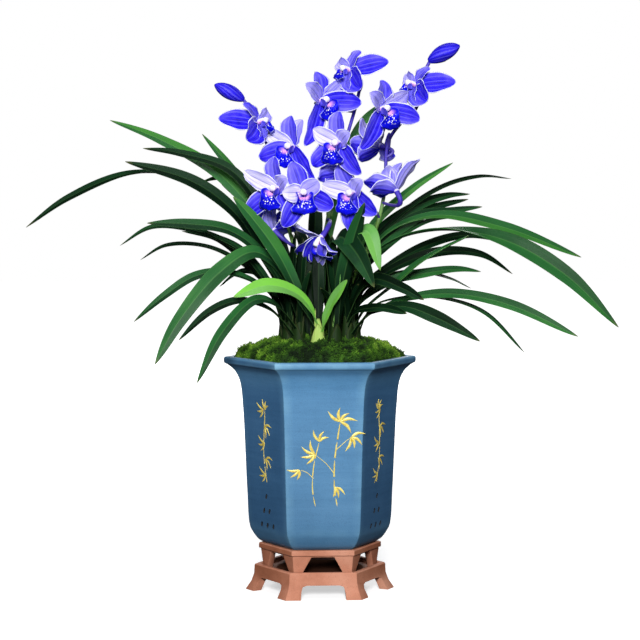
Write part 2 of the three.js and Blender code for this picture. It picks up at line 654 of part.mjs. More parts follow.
const counts = { left: 0, centre: 0, right: 0 };
for (const entry of BLOOMS) {
  counts[entry.spike] += 1;
  const name = `bloom_${entry.spike}_${counts[entry.spike]}`;
  addPiece(name, bloom(entry), TEPAL_BLUE);
  addPiece(`${name}_lip`, lip(entry), LIP_BLUE);
}
for (const { name, from, to, radius } of BUDS) addPiece(name, bud(from, to, radius), TEPAL_BLUE);

export default model;
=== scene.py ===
"""Looks of a potted orchid in bloom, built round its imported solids. Lengths in the tables are millimetres."""

import math

import bmesh
import bpy
import numpy as np
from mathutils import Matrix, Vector


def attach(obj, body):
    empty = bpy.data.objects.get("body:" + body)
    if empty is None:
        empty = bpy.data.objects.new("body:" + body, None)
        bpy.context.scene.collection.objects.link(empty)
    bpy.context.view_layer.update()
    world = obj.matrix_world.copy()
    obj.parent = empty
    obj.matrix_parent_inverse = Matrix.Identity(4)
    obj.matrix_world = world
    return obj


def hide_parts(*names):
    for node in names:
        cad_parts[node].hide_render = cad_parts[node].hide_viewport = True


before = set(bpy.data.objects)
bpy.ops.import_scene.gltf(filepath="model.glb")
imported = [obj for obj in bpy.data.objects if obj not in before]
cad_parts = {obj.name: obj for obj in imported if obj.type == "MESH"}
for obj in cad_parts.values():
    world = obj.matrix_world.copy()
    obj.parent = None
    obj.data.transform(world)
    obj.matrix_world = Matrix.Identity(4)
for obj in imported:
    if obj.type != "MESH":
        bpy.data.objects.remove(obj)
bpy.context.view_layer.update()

MM = 0.001
rng = np.random.default_rng(11)

# Curves and numbers


def smooth(t, low=0.0, high=1.0):
    x = np.clip((t - low) / (high - low), 0, 1)
    return x * x * (3 - 2 * x)


def unit(v):
    return v / np.maximum(np.linalg.norm(v, axis=-1, keepdims=True), 1e-12)


def polar(radius, degrees, z=0.0):
    a = math.radians(degrees)
    return np.array([radius * math.cos(a), radius * math.sin(a), z])


def full_turn(steps):
    """Angles of a closed ring."""
    return np.linspace(0, 2 * np.pi, steps, endpoint=False)


def swing(t, turns, phase=0.0):
    return np.sin(2 * np.pi * turns * t + phase)


def column_of(values):
    """Values along a piece, as a column that spreads over the points of its rings."""
    return values[:, None]


def grid(*values):
    """Values along and across a piece, spread to one grid of points."""
    return np.stack(np.broadcast_arrays(*values), -1)


class Path:
    """A curve through dense points, read by its share of the length."""

    def __init__(self, dense):
        gaps = np.linalg.norm(np.diff(dense, axis=0), axis=1)
        self.length = gaps.sum()
        self.share = np.concatenate([[0], np.cumsum(gaps)]) / self.length
        self.dense = dense
        self.slopes = unit(np.gradient(dense, axis=0))

    def _read(self, t, table):
        return np.stack([np.interp(t, self.share, table[:, k]) for k in range(table.shape[1])], -1)

    def at(self, t):
        return self._read(t, self.dense)

    def along(self, t):
        return unit(self._read(t, self.slopes))


def spline(points, each=30):
    """A centripetal Catmull-Rom curve through the points."""
    p = np.asarray(points, float)
    p = np.vstack([2 * p[0] - p[1], p, 2 * p[-1] - p[-2]])
    dense = []
    for a, b, c, d in zip(p, p[1:], p[2:], p[3:]):
        da, db, dc = (max(np.linalg.norm(v) ** 0.5, 1e-4) for v in (b - a, c - b, d - c))
        m1 = ((b - a) / da - (c - a) / (da + db) + (c - b) / db) * db
        m2 = ((c - b) / db - (d - b) / (db + dc) + (d - c) / dc) * db
        t = np.linspace(0, 1, each, endpoint=False)[:, None]
        dense.append(b + m1 * t + (3 * (c - b) - 2 * m1 - m2) * t**2 + (2 * (b - c) + m1 + m2) * t**3)
    return Path(np.vstack(dense + [p[-2:-1]]))


def bezier(a, b, c, steps=60):
    t = np.linspace(0, 1, steps)[:, None]
    return Path((1 - t) ** 2 * a + 2 * t * (1 - t) * b + t * t * c)


class Noise:
    """Smooth repeatable noise in space, from -1 to 1."""

    def __init__(self, seed):
        self.table = np.random.default_rng(seed).random(4096) * 2 - 1

    def __call__(self, x, y, z=0.0):
        x, y, z = np.broadcast_arrays(np.asarray(x, float), y, z)
        i, j, k = (np.floor(v).astype(int) for v in (x, y, z))
        u, v, w = (smooth(a - b) for a, b in ((x, i), (y, j), (z, k)))
        total = 0
        for di in (0, 1):
            for dj in (0, 1):
                for dk in (0, 1):
                    key = ((i + di) * 157 + (j + dj) * 911 + (k + dk) * 3571) % 4096
                    weight = (u if di else 1 - u) * (v if dj else 1 - v) * (w if dk else 1 - w)
                    total = total + weight * self.table[key]
        return total


noise = Noise(5)

# Meshes


def add_object(name, data):
    thing = bpy.data.objects.new(name, data)
    bpy.context.scene.collection.objects.link(thing)
    return thing


class Build:
    """Gathers the surfaces of one piece. Points are in millimetres."""

    def __init__(self):
        self.points, self.faces, self.looks = [], [], []
        self.uvs, self.tones, self.shares = [], [], []
        self.count = 0

    def add(self, points, faces, uv, tone=0.0, share=0.0, look=0):
        points = np.asarray(points, float).reshape(-1, 3)
        n = len(points)
        self.points.append(points)
        self.uvs.append(np.broadcast_to(np.asarray(uv, float).reshape(-1, 2), (n, 2)))
        self.tones.append(np.broadcast_to(np.asarray(tone, float).reshape(-1), (n,)))
        self.shares.append(np.broadcast_to(np.asarray(share, float).reshape(-1), (n,)))
        self.faces += [[c + self.count for c in face] for face in faces]
        self.looks += [look] * len(faces)
        self.count += n

    def tube(self, rings, uv, tone=0.0, share=0.0, look=0):
        """Rings (n, m, 3) joined into a tube, and closed at its ends round the middle of each end ring."""
        n, m = rings.shape[:2]
        index = np.arange(n * m).reshape(n, m)
        across = np.roll(index, -1, 1)
        faces = np.stack([index[:-1], across[:-1], across[1:], index[1:]], -1).reshape(-1, 4).tolist()
        points, uv = rings.reshape(-1, 3), np.broadcast_to(uv, (n, m, 2)).reshape(-1, 2)
        share = np.broadcast_to(share, (n, m)).reshape(-1)
        tone = np.broadcast_to(tone, (n, m)).reshape(-1)
        for row, last in ((0, False), (n - 1, True)):
            middle = len(points)
            points = np.vstack([points, rings[row].mean(0)])
            uv = np.vstack([uv, uv[row * m:row * m + m].mean(0)])
            share = np.append(share, share[row * m])
            tone = np.append(tone, tone[row * m])
            for a, b in zip(index[row], across[row]):
                faces.append([a, b, middle] if last else [b, a, middle])
        self.add(points, faces, uv, tone, share, look)

    def make(self, name, materials):
        mesh = bpy.data.meshes.new(name)
        points = np.vstack(self.points) * MM
        mesh.from_pydata(points.tolist(), [], self.faces)
        mesh.polygons.foreach_set("material_index", self.looks)
        mesh.polygons.foreach_set("use_smooth", [True] * len(mesh.polygons))
        corners = np.empty(len(mesh.loops), int)
        mesh.loops.foreach_get("vertex_index", corners)
        layer = mesh.uv_layers.new(name="UVMap")
        layer.data.foreach_set("uv", np.vstack(self.uvs)[corners].reshape(-1))
        for label, values in (("tone", self.tones), ("share", self.shares)):
            attribute = mesh.attributes.new(label, "FLOAT", "POINT")
            attribute.data.foreach_set("value", np.concatenate(values).astype(np.float32))
        for material in materials:
            mesh.materials.append(material)
        mesh.update()
        return add_object(name, mesh)


def place(piece, node, slot):
    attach(piece, "root")
    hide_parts(node)


# Places of the points across a blade, closer together at its edges and at its rib
LEFT_HALF = np.array([-1, -0.94, -0.82, -0.68, -0.54, -0.4, -0.26, -0.14, -0.06, 0])
ACROSS = np.concatenate([LEFT_HALF, -LEFT_HALF[-2::-1]])


def stations(steps, last_steps, end):
    """Shares of a blade's length, closer together in its last tenth."""
    return np.concatenate([np.linspace(0, 0.9, steps, endpoint=False), np.linspace(0.9, end, last_steps)])


def there_and_back(over, under):
    """A ring over the upper face of a blade and back under it."""
    return np.concatenate([over, under[:, -2:0:-1]], 1)


def sheet(build, path, face, t, half, rise, depth, tone=0.0, across=ACROSS):
    """A thin closed blade along a path, from t[0] to a point.

    half (n) is half its width, rise (n, m) lifts its middle surface towards the face, and depth (n, m) is
    half its thickness."""
    along = path.along(t)
    side = unit(np.cross(along, face))
    up = column_of(np.cross(side, along))
    middle = column_of(path.at(t)) + column_of(side) * (column_of(half) * across)[..., None]
    rings = there_and_back(middle + up * (rise + depth)[..., None], middle + up * (rise - depth)[..., None])
    uv = grid(there_and_back(across[None], across[None]) / 2 + 0.5, column_of(t * path.length / 100))
    build.tube(rings, uv, tone, column_of(t))


def carried_sides(along):
    """Sides of a round section that turn with its path and don't twist about it."""
    start = np.cross(along[0], np.eye(3)[np.abs(along[0]).argmin()])
    sides = [unit(start)]
    for direction in along[1:]:
        sides.append(unit(sides[-1] - direction * (sides[-1] @ direction)))
    return np.array(sides)


def round_rings(path, t, side, a, radius, flat=1.0):
    """Rings round a path at the angles a. radius is (n, m) or (n, 1), and flat scales their height."""
    up = np.cross(side, path.along(t))
    rings = column_of(path.at(t)) + column_of(side) * (radius * np.cos(a))[..., None]
    return rings + column_of(up) * (radius * np.sin(a) * flat)[..., None]


def rod(build, path, t, radius, sides=18, tone=0.0, look=0):
    a = full_turn(sides)
    rings = round_rings(path, t, carried_sides(path.along(t)), a, radius)
    uv = grid(a[None] / (2 * np.pi), column_of(t * path.length / 100))
    build.tube(rings[:, ::-1], uv[:, ::-1], tone, column_of(t), look)


# Materials


def grey(value):
    return (value, value, value)


def rgba(colour):
    """A plain colour with its alpha. A socket is passed on as it is."""
    return (*colour, 1) if isinstance(colour, tuple) and len(colour) == 3 else colour


class Look:
    """Builds one node material. A value given for a socket is set on it, and a socket is linked to it."""

    def __init__(self, name):
        self.material = bpy.data.materials.new(name)
        self.material.use_nodes = True
        self.tree = self.material.node_tree
        self.shader = self.tree.nodes["Principled BSDF"]

    def feed(self, node, inputs):
        for key, value in inputs.items():
            socket = node.inputs[key]
            if isinstance(value, bpy.types.NodeSocket):
                self.tree.links.new(value, socket)
            else:
                socket.default_value = value

    def node(self, kind, inputs=None, **settings):
        node = self.tree.nodes.new("ShaderNode" + kind)
        for key, value in settings.items():
            setattr(node, key, value)
        self.feed(node, inputs or {})
        return node

    def set(self, **inputs):
        self.feed(self.shader, {key.replace("_", " "): value for key, value in inputs.items()})

    def attribute(self, name):
        return self.node("Attribute", attribute_name=name).outputs["Fac"]

    def math(self, operation, a, b=0.0, c=0.0, clamp=False):
        return self.node("Math", {0: a, 1: b, 2: c}, operation=operation, use_clamp=clamp).outputs[0]

    def times(self, product, *factors):
        for factor in factors:
            product = self.math("MULTIPLY", product, factor)
        return product

    def plus(self, total, *terms, clamp=False):
        for term in terms:
            total = self.math("ADD", total, term, clamp=clamp)
        return total

    def line(self, value, slope, start):
        return self.math("MULTIPLY_ADD", value, slope, start)

    def sway(self, value, span):
        """Noise from 0 to 1, scaled to the span and moved to lie evenly about 0."""
        return self.line(value, span, -span / 2)

    def largest(self, a, b):
        return self.math("MAXIMUM", a, b)

    def off_middle(self, value):
        """How far a value lies from 0.5."""
        return self.math("ABSOLUTE", self.math("SUBTRACT", value, 0.5))

    def rest_of(self, value):
        return self.math("SUBTRACT", 1.0, value)

    def mix(self, share, a, b, blend="MIX"):
        inputs = {0: share, 6: rgba(a), 7: rgba(b)}
        return self.node("Mix", inputs, data_type="RGBA", blend_type=blend).outputs[2]

    def tint(self, base, colour, *amounts):
        """A colour laid over the base by the product of the amounts."""
        return self.mix(self.times(*amounts), base, colour)

    def filtered(self, base, colour):
        return self.mix(1.0, base, colour, "MULTIPLY")

    def ramp(self, share, stops, smoothly=False):
        node = self.node("ValToRGB", {0: share})
        ramp = node.color_ramp
        ramp.interpolation = "EASE" if smoothly else "LINEAR"
        while len(ramp.elements) < len(stops):
            ramp.elements.new(0.5)
        for element, (position, colour) in zip(ramp.elements, stops):
            element.position = position
            element.color = rgba(colour)
        return node.outputs[0]

    def greys(self, share, *stops, smoothly=False):
        """A ramp of greys. Each stop is its position and its level."""
        return self.ramp(share, [(position, grey(level)) for position, level in stops], smoothly)

    def noise(self, vector, scale, detail=3.0, rough=0.55):
        inputs = {"Vector": vector, "Scale": scale, "Detail": detail, "Roughness": rough}
        return self.node("TexNoise", inputs).outputs[0]

    def uv_noise(self, across, along, detail=3.0, rough=0.55):
        return self.noise(self.scaled(self.uv(), across, along, 1), 1.0, detail, rough)

    def spots(self, scale):
        return self.cells(scale)[0]

    def cells(self, scale):
        """Cells in space: the distance from the middle of each, and one random number for each."""
        outputs = self.node("TexVoronoi", {"Vector": self.place(), "Scale": scale}).outputs
        return outputs[0], outputs[1]

    def scaled(self, vector, x, y, z):
        return self.node("Mapping", {"Vector": vector, "Scale": (x, y, z)}).outputs[0]

    def bump(self, height, strength, distance=0.001):
        return self.node("Bump", {"Height": height, "Strength": strength, "Distance": distance}).outputs[0]

    def uv(self):
        return self.node("UVMap", uv_map="UVMap").outputs[0]

    def place(self):
        return self.node("NewGeometry").outputs["Position"]

    def from_axis(self):
        """Distance from the upright axis of the pot, in tenths of a metre."""
        flat = self.scaled(self.place(), 1, 1, 0)
        return self.times(self.node("VectorMath", {0: flat}, operation="LENGTH").outputs[1], 10)

    def turned_away_shade(self):
        """Painted shade: 1 on faces that look away from the front of the object, and 0 on those that look along
        -Y or up.
        """
        _, y, z = self.parts(self.node("NewGeometry").outputs["Normal"])
        upward = self.times(self.math("ABSOLUTE", z), 0.8)
        return self.greys(self.math("SUBTRACT", upward, y), (0.55, 1), (0.85, 0))

    def parts(self, vector):
        return self.node("SeparateXYZ", {0: vector}).outputs


def leaf_look():
    """Strap leaves. tone runs from 0, nearly black, over 1, light green, to 1.5, young yellow-green; its dark
    end is partly painted shade. Painted shade darkens the crown, and a painted light makes one half of each
    blade lighter.
    """
    look = Look("leaf")
    u = look.parts(look.uv())[0]
    share, tone = look.attribute("share"), look.attribute("tone")
    off = look.off_middle(u)
    streak, veins = look.uv_noise(26, 2.2, 4, 0.6), look.uv_noise(64, 0.6, 1, 0.4)
    blotch = look.noise(look.place(), 22, 3)
    # Painted light: one half of each blade, beside its rib, is painted lighter, as if lit across the fold.
    painted_lit_half = look.greys(u, (0.47, 0.0), (0.53, 0.2))
    level = look.plus(tone, look.sway(streak, 0.26), look.sway(blotch, 0.3), painted_lit_half)
    # Painted shade at the crown: low leaves near the axis are painted darker, except young ones and those far
    # out.
    height = look.parts(look.place())[2]
    crown = look.greys(look.times(height, 2), (0.49, 0.12), (0.56, 0.5), (0.64, 1))
    young = look.greys(tone, (0.9, 0), (1.1, 1))
    outside = look.greys(look.from_axis(), (0.5, 0), (0.75, 1))
    level = look.times(level, look.largest(look.largest(crown, young), outside))
    green = look.ramp(look.line(level, 0.46, -0.045), [
        (0.0, (0.0010, 0.0070, 0.0022)), (0.15, (0.006, 0.034, 0.011)), (0.31, (0.018, 0.115, 0.026)),
        (0.47, (0.062, 0.26, 0.034)), (0.62, (0.15, 0.40, 0.085)), (0.84, (0.21, 0.66, 0.035)),
        (1.0, (0.34, 0.80, 0.08))])
    pale = look.mix(0.5, green, (0.20, 0.46, 0.12))
    rib = look.greys(off, (0.0, 1), (0.022, 0.75), (0.05, 0))
    green = look.tint(green, pale, rib, look.line(tone, 0.4, 0.08))
    green = look.tint(green, pale, look.greys(off, (0.455, 0), (0.495, 1)), 0.3)
    foot = look.greys(share, (0.0, 1), (0.2, 0))
    green = look.tint(green, (0.36, 0.50, 0.12), foot, young, 0.6)
    green = look.tint(green, (0.16, 0.16, 0.05), look.greys(share, (0.965, 0), (1.0, 1)), 0.5)
    gloss = look.greys(streak, (0.3, 0.36), (0.7, 0.52))
    relief = look.bump(look.plus(look.times(veins, 0.6), look.times(streak, 0.3)), 0.35, 0.0006)
    look.set(Base_Color=green, Roughness=gloss, Normal=relief, Specular_IOR_Level=look.line(tone, 0.2, 0.06))
    return look.material


def sheath_look():
    """Scale leaves round the foot of a growth. tone runs from 0, old and brown, to 1, young and pale."""
    look = Look("leaf_sheath")
    streak = look.uv_noise(30, 1.2, 3)
    old = look.ramp(streak, [(0.3, (0.003, 0.010, 0.002)), (0.7, (0.014, 0.042, 0.008))])
    young = look.ramp(streak, [(0.3, (0.22, 0.42, 0.05)), (0.7, (0.50, 0.62, 0.20))])
    dry = look.greys(look.attribute("share"), (0.0, 0.7), (0.35, 0.1), (0.9, 0.05), (1.0, 0.6))
    green = look.tint(look.mix(look.attribute("tone"), old, young), (0.10, 0.08, 0.03), dry, 0.3)
    look.set(Base_Color=green, Roughness=0.55, Normal=look.bump(streak, 0.5, 0.0006), Specular_IOR_Level=0.1)
    return look.material


def petal_look():
    """Violet-blue tepals with pale rims and parallel veins. tone runs from 0, deep, to 1, nearly white, and is
    partly painted light. The foot of each tepal is painted darker as painted shade.
    """
    look = Look("petal")
    u = look.parts(look.uv())[0]
    share, tone = look.attribute("share"), look.attribute("tone")
    off = look.off_middle(u)
    fray, streak = look.uv_noise(7, 9, 3), look.uv_noise(24, 4.0, 3, 0.6)
    blotch = look.noise(look.place(), 120, 2)
    sweep = look.times(look.math("SUBTRACT", u, 0.5), look.line(share, -0.25, 1.0))
    wave = look.math("SINE", look.line(sweep, 2 * math.pi * 5.5, look.times(fray, 1.6)))
    dark_vein = look.greys(wave, (0.55, 0), (0.95, 1))
    light_vein = look.greys(look.times(wave, -1.0), (0.35, 0), (0.95, 1))
    level = look.plus(look.line(streak, 0.9, -0.32), look.times(tone, 0.55), look.sway(blotch, 0.5))
    blue = look.ramp(level, [
        (0.0, (0.005, 0.002, 0.42)), (0.2, (0.022, 0.012, 0.74)), (0.42, (0.080, 0.052, 0.88)),
        (0.68, (0.19, 0.145, 0.96)), (1.0, (0.46, 0.40, 1.0))])
    pale = look.ramp(streak, [(0.25, (0.42, 0.38, 0.96)), (0.6, (0.80, 0.77, 1.0))])
    body = look.mix(look.greys(tone, (0.25, 0), (0.9, 1)), blue, pale)
    along = look.greys(share, (0.0, 0.9), (0.7, 0.7), (0.97, 0))
    patchy = look.greys(look.noise(look.place(), 90, 2), (0.35, 0.12), (0.7, 0.5))
    body = look.tint(body, look.mix(tone, (0.008, 0.004, 0.34), (0.13, 0.11, 0.62)), dark_vein, along, patchy)
    body = look.tint(body, look.mix(tone, (0.34, 0.31, 1.0), (0.92, 0.90, 1.0)), light_vein, along, 0.2)
    middle = look.greys(off, (0.0, 1), (0.014, 0.9), (0.03, 0))
    body = look.tint(body, (0.03, 0.02, 0.22), middle, along, 0.75)
    # Painted shade: the foot of each tepal is painted deep blue, less on pale tepals.
    base = look.greys(share, (0.0, 0.9), (0.26, 0))
    body = look.tint(body, (0.006, 0.003, 0.48), base, look.rest_of(tone))
    shrink = look.plus(off, look.sway(fray, 0.036))
    flush = look.greys(shrink, (0.30, 0), (0.43, 1), (0.455, 0.2))
    body = look.tint(body, (0.07, 0.05, 0.95), flush, tone, 0.5)
    rim = look.greys(shrink, (0.440, 0), (0.468, 1))
    rim = look.largest(rim, look.times(look.greys(share, (0.965, 0), (0.992, 1)), 0.7))
    body = look.tint(body, (0.84, 0.85, 1.0), rim, 0.82)
    relief = look.bump(look.plus(look.times(wave, 0.35), streak), 0.3, 0.0005)
    look.set(Base_Color=body, Roughness=0.5, Specular_IOR_Level=0.14, Normal=relief)
    look.set(Subsurface_Weight=0.06, Subsurface_Radius=(0.001, 0.001, 0.003), Subsurface_Scale=1.0)
    return look.material


def lip_look():
    """Deep blue, with white crystals and a pink throat. tone marks the inner side, and share runs forward."""
    look = Look("lip")
    off = look.off_middle(look.parts(look.uv())[0])
    share, inner = look.attribute("share"), look.attribute("tone")
    distance, number = look.cells(560.0)
    crystal = look.greys(distance, (0.34, 1), (0.46, 0))
    chosen = look.greys(look.parts(number)[0], (0.40, 0), (0.44, 1))
    band = look.greys(share, (0.22, 0), (0.32, 1), (0.62, 1), (0.74, 0))
    narrow = look.greys(off, (0.24, 1), (0.36, 0))
    white = look.times(crystal, chosen, band, narrow, inner)
    blotch = look.noise(look.place(), 150, 3)
    blue = look.ramp(blotch, [(0.35, (0.001, 0.001, 0.40)), (0.65, (0.003, 0.004, 0.80))])
    throat = look.times(
        look.greys(share, (0.16, 1), (0.40, 0)), look.greys(off, (0.26, 1), (0.40, 0)), inner)
    fleck = look.greys(look.spots(800), (0.22, 1), (0.34, 0))
    pink = look.mix(look.times(fleck, 0.6), (1.0, 0.50, 0.80), (0.60, 0.04, 0.36))
    colour = look.mix(white, look.mix(throat, blue, pink), (0.97, 0.93, 1.0))
    outer = look.times(look.rest_of(inner), look.greys(share, (0.2, 1), (0.6, 0)))
    colour = look.tint(colour, (0.30, 0.24, 0.95), outer, 0.45)
    rim, end = look.greys(off, (0.468, 0), (0.49, 1)), look.greys(share, (0.965, 0), (0.99, 1))
    rim = look.times(look.largest(rim, end), look.greys(share, (0.4, 0.35), (0.6, 0.8)))
    colour = look.mix(rim, colour, (0.66, 0.68, 1.0))
    relief = look.bump(look.plus(white, look.times(blotch, 0.4)), 0.5, 0.0008)
    look.set(Base_Color=colour, Roughness=0.5, Specular_IOR_Level=0.16, Normal=relief)
    return look.material


def column_look():
    """Nearly white, and pink with flecks on the underside, which tone marks."""
    look = Look("column")
    under = look.attribute("tone")
    body = look.mix(under, (0.92, 0.90, 0.96), (0.98, 0.50, 0.72))
    body = look.tint(body, (0.55, 0.03, 0.30), look.greys(look.spots(700), (0.2, 1), (0.3, 0)), under, 0.7)
    base = look.greys(look.attribute("share"), (0.0, 1), (0.3, 0))
    body = look.tint(body, (0.3, 0.25, 0.9), base, 0.6)
    fine = look.noise(look.place(), 500, 2)
    look.set(Base_Color=body, Roughness=0.4, Normal=look.bump(fine, 0.2, 0.0004))
    return look.material


def stem_look():
    """tone runs from 0, green at the foot, to 1, purple at the top."""
    look = Look("stem")
    streak = look.uv_noise(9, 3, 4)
    tone = look.plus(look.attribute("tone"), look.sway(streak, 0.5), clamp=True)
    colour = look.ramp(tone, [
        (0.0, (0.16, 0.34, 0.05)), (0.45, (0.15, 0.24, 0.12)), (0.7, (0.08, 0.06, 0.34)),
        (1.0, (0.05, 0.03, 0.42))])
    marks = look.greys(look.spots(420), (0.16, 1), (0.3, 0))
    colour = look.tint(colour, (0.16, 0.03, 0.22), marks, 0.35)
    look.set(Base_Color=colour, Roughness=0.5, Normal=look.bump(streak, 0.3, 0.0005), Specular_IOR_Level=0.4)
    return look.material


def glaze_look():
    """A matt blue engobe over clay: fine sandy grain, faint clouds, a lip and corners painted lighter, partly
    worn and partly as painted highlight, and painted shade low down, at the top of the lip and on the faces
    turned from the front.
    """
    look = Look("blue_glaze")
    place = look.place()
    cloud = look.noise(look.scaled(place, 1, 1, 0.55), 14, 4, 0.6)
    grain = look.noise(place, 900, 3, 0.6)
    brush = look.noise(look.scaled(place, 1, 1, 16), 9, 4, 0.7)
    blue = look.ramp(look.plus(look.times(cloud, 0.6), look.times(brush, 0.4)), [
        (0.30, (0.050, 0.165, 0.325)), (0.5, (0.074, 0.222, 0.42)), (0.72, (0.106, 0.280, 0.50))])
    blue = look.tint(blue, (0.03, 0.09, 0.17), look.greys(grain, (0.36, 1), (0.46, 0)), 0.22)
    patchy = look.greys(look.noise(place, 60, 4), (0.35, 0.2), (0.7, 1))
    # Lip and corners painted lighter from the tone: partly wear, partly painted highlight.
    blue = look.tint(blue, (0.19, 0.42, 0.60), look.attribute("tone"), patchy)
    # Painted shade: the body is painted darker low down and at the top of the lip, and painted light, slightly
    # warm, in between.
    height = look.times(look.parts(place)[2], 4)
    painted_light_by_height = look.greys(height, (0.22, 0.76), (0.5, 0.93), (0.74, 1), (0.84, 1), (0.9, 0.8))
    blue = look.filtered(blue, look.filtered(painted_light_by_height, (1.1, 1.04, 1.0)))
    # Painted shade: faces turned away from the front are painted darker.
    blue = look.mix(look.turned_away_shade(), blue, look.filtered(blue, (0.50, 0.56, 0.64)))
    relief = look.bump(look.plus(grain, look.times(look.spots(1500), 0.5)), 0.22, 0.0005)
    look.set(Base_Color=blue, Roughness=0.58, Specular_IOR_Level=0.3, Normal=relief)
    return look.material


def gold_look():
    look = Look("gold_paint")
    streak, worn = look.noise(look.place(), 380, 4), look.noise(look.place(), 900, 3)
    gold = look.ramp(streak, [
        (0.3, (0.62, 0.44, 0.06)), (0.55, (0.88, 0.72, 0.17)), (0.8, (0.97, 0.88, 0.38))])
    gold = look.tint(gold, (0.2, 0.2, 0.12), look.greys(worn, (0.28, 1), (0.36, 0)), 0.6)
    look.set(Base_Color=gold, Roughness=0.42, Metallic=0.15, Normal=look.bump(streak, 0.4, 0.0004))
    return look.material


def clay_look():
    """Unglazed terracotta: fine grain, grog specks, faint firing clouds, painted shade on the faces turned from
    the front, and painted shade, nearly black, in the middle.
    """
    look = Look("terracotta")
    cloud, grain = look.noise(look.place(), 24, 4, 0.6), look.noise(look.place(), 1100, 3, 0.6)
    grog = look.spots(900)
    clay = look.ramp(cloud, [
        (0.3, (0.36, 0.135, 0.075)), (0.5, (0.50, 0.205, 0.125)), (0.72, (0.60, 0.285, 0.19))])
    clay = look.tint(clay, (0.72, 0.50, 0.38), look.greys(grog, (0.08, 1), (0.18, 0)), 0.4)
    clay = look.tint(clay, (0.20, 0.08, 0.045), look.greys(grain, (0.34, 1), (0.42, 0)), 0.4)
    # Painted shade: faces turned away from the front are painted darker.
    clay = look.mix(look.turned_away_shade(), clay, look.filtered(clay, (0.66, 0.56, 0.46)))
    # Painted shade: the middle, round the axis, is painted nearly black and given less shine.
    painted_middle_shade = look.greys(look.from_axis(), (0.40, 1), (0.50, 0))
    clay = look.tint(clay, (0.012, 0.006, 0.004), painted_middle_shade, 0.9)
    relief = look.bump(look.plus(grain, look.times(grog, 0.3)), 0.3, 0.0005)
    look.set(Base_Color=clay, Roughness=0.72, Specular_IOR_Level=look.line(painted_middle_shade, -0.25, 0.25), Normal=relief)
    return look.material


def moss_look():
    """tone runs from 0 in the hollows to 1 on the tips, and is lowered by painted shade under the leaves."""
    look = Look("moss")
    patch, fine = look.noise(look.place(), 45, 4, 0.6), look.noise(look.place(), 420, 3)
    level = look.plus(look.attribute("tone"), look.sway(patch, 0.7), look.sway(fine, 0.5))
    green = look.ramp(level, [
        (0.0, (0.003, 0.010, 0.002)), (0.3, (0.014, 0.046, 0.004)), (0.58, (0.048, 0.130, 0.009)),
        (0.82, (0.115, 0.240, 0.018)), (1.0, (0.24, 0.40, 0.045))])
    look.set(Base_Color=green, Roughness=0.85, Specular_IOR_Level=0.15, Normal=look.bump(fine, 0.6, 0.001))
    return look.material


def grit_look(name, dark, mid, light, scale):
    """Grains in three colours."""
    look = Look(name)
    distance, number = look.cells(scale)
    cloud = look.noise(look.place(), scale * 2, 4)
    level = look.plus(look.times(cloud, 0.7), look.times(look.parts(number)[0], 0.4))
    colour = look.ramp(level, [(0.25, dark), (0.55, mid), (0.85, light)])
    look.set(Base_Color=colour, Roughness=0.9, Normal=look.bump(distance, 0.8, 0.002))
    return look.material


LEAF, SHEATH = leaf_look(), sheath_look()
PETAL, LIP, COLUMN, STEM = petal_look(), lip_look(), column_look(), stem_look()
GLAZE, GOLD, CLAY, MOSS = glaze_look(), gold_look(), clay_look(), moss_look()
GRAVEL = grit_look("gravel", (0.10, 0.09, 0.08), (0.30, 0.27, 0.24), (0.55, 0.52, 0.47), 130)
BARK = grit_look("bark", (0.015, 0.008, 0.004), (0.07, 0.035, 0.018), (0.20, 0.11, 0.06), 90)
# Painted shade: the walls of the pot's slits and drain are painted nearly black.
SLIT_SHADE = grit_look("slit_painted_shade", (0.004, 0.006, 0.010), (0.010, 0.014, 0.022), (0.022, 0.030, 0.045), 900)
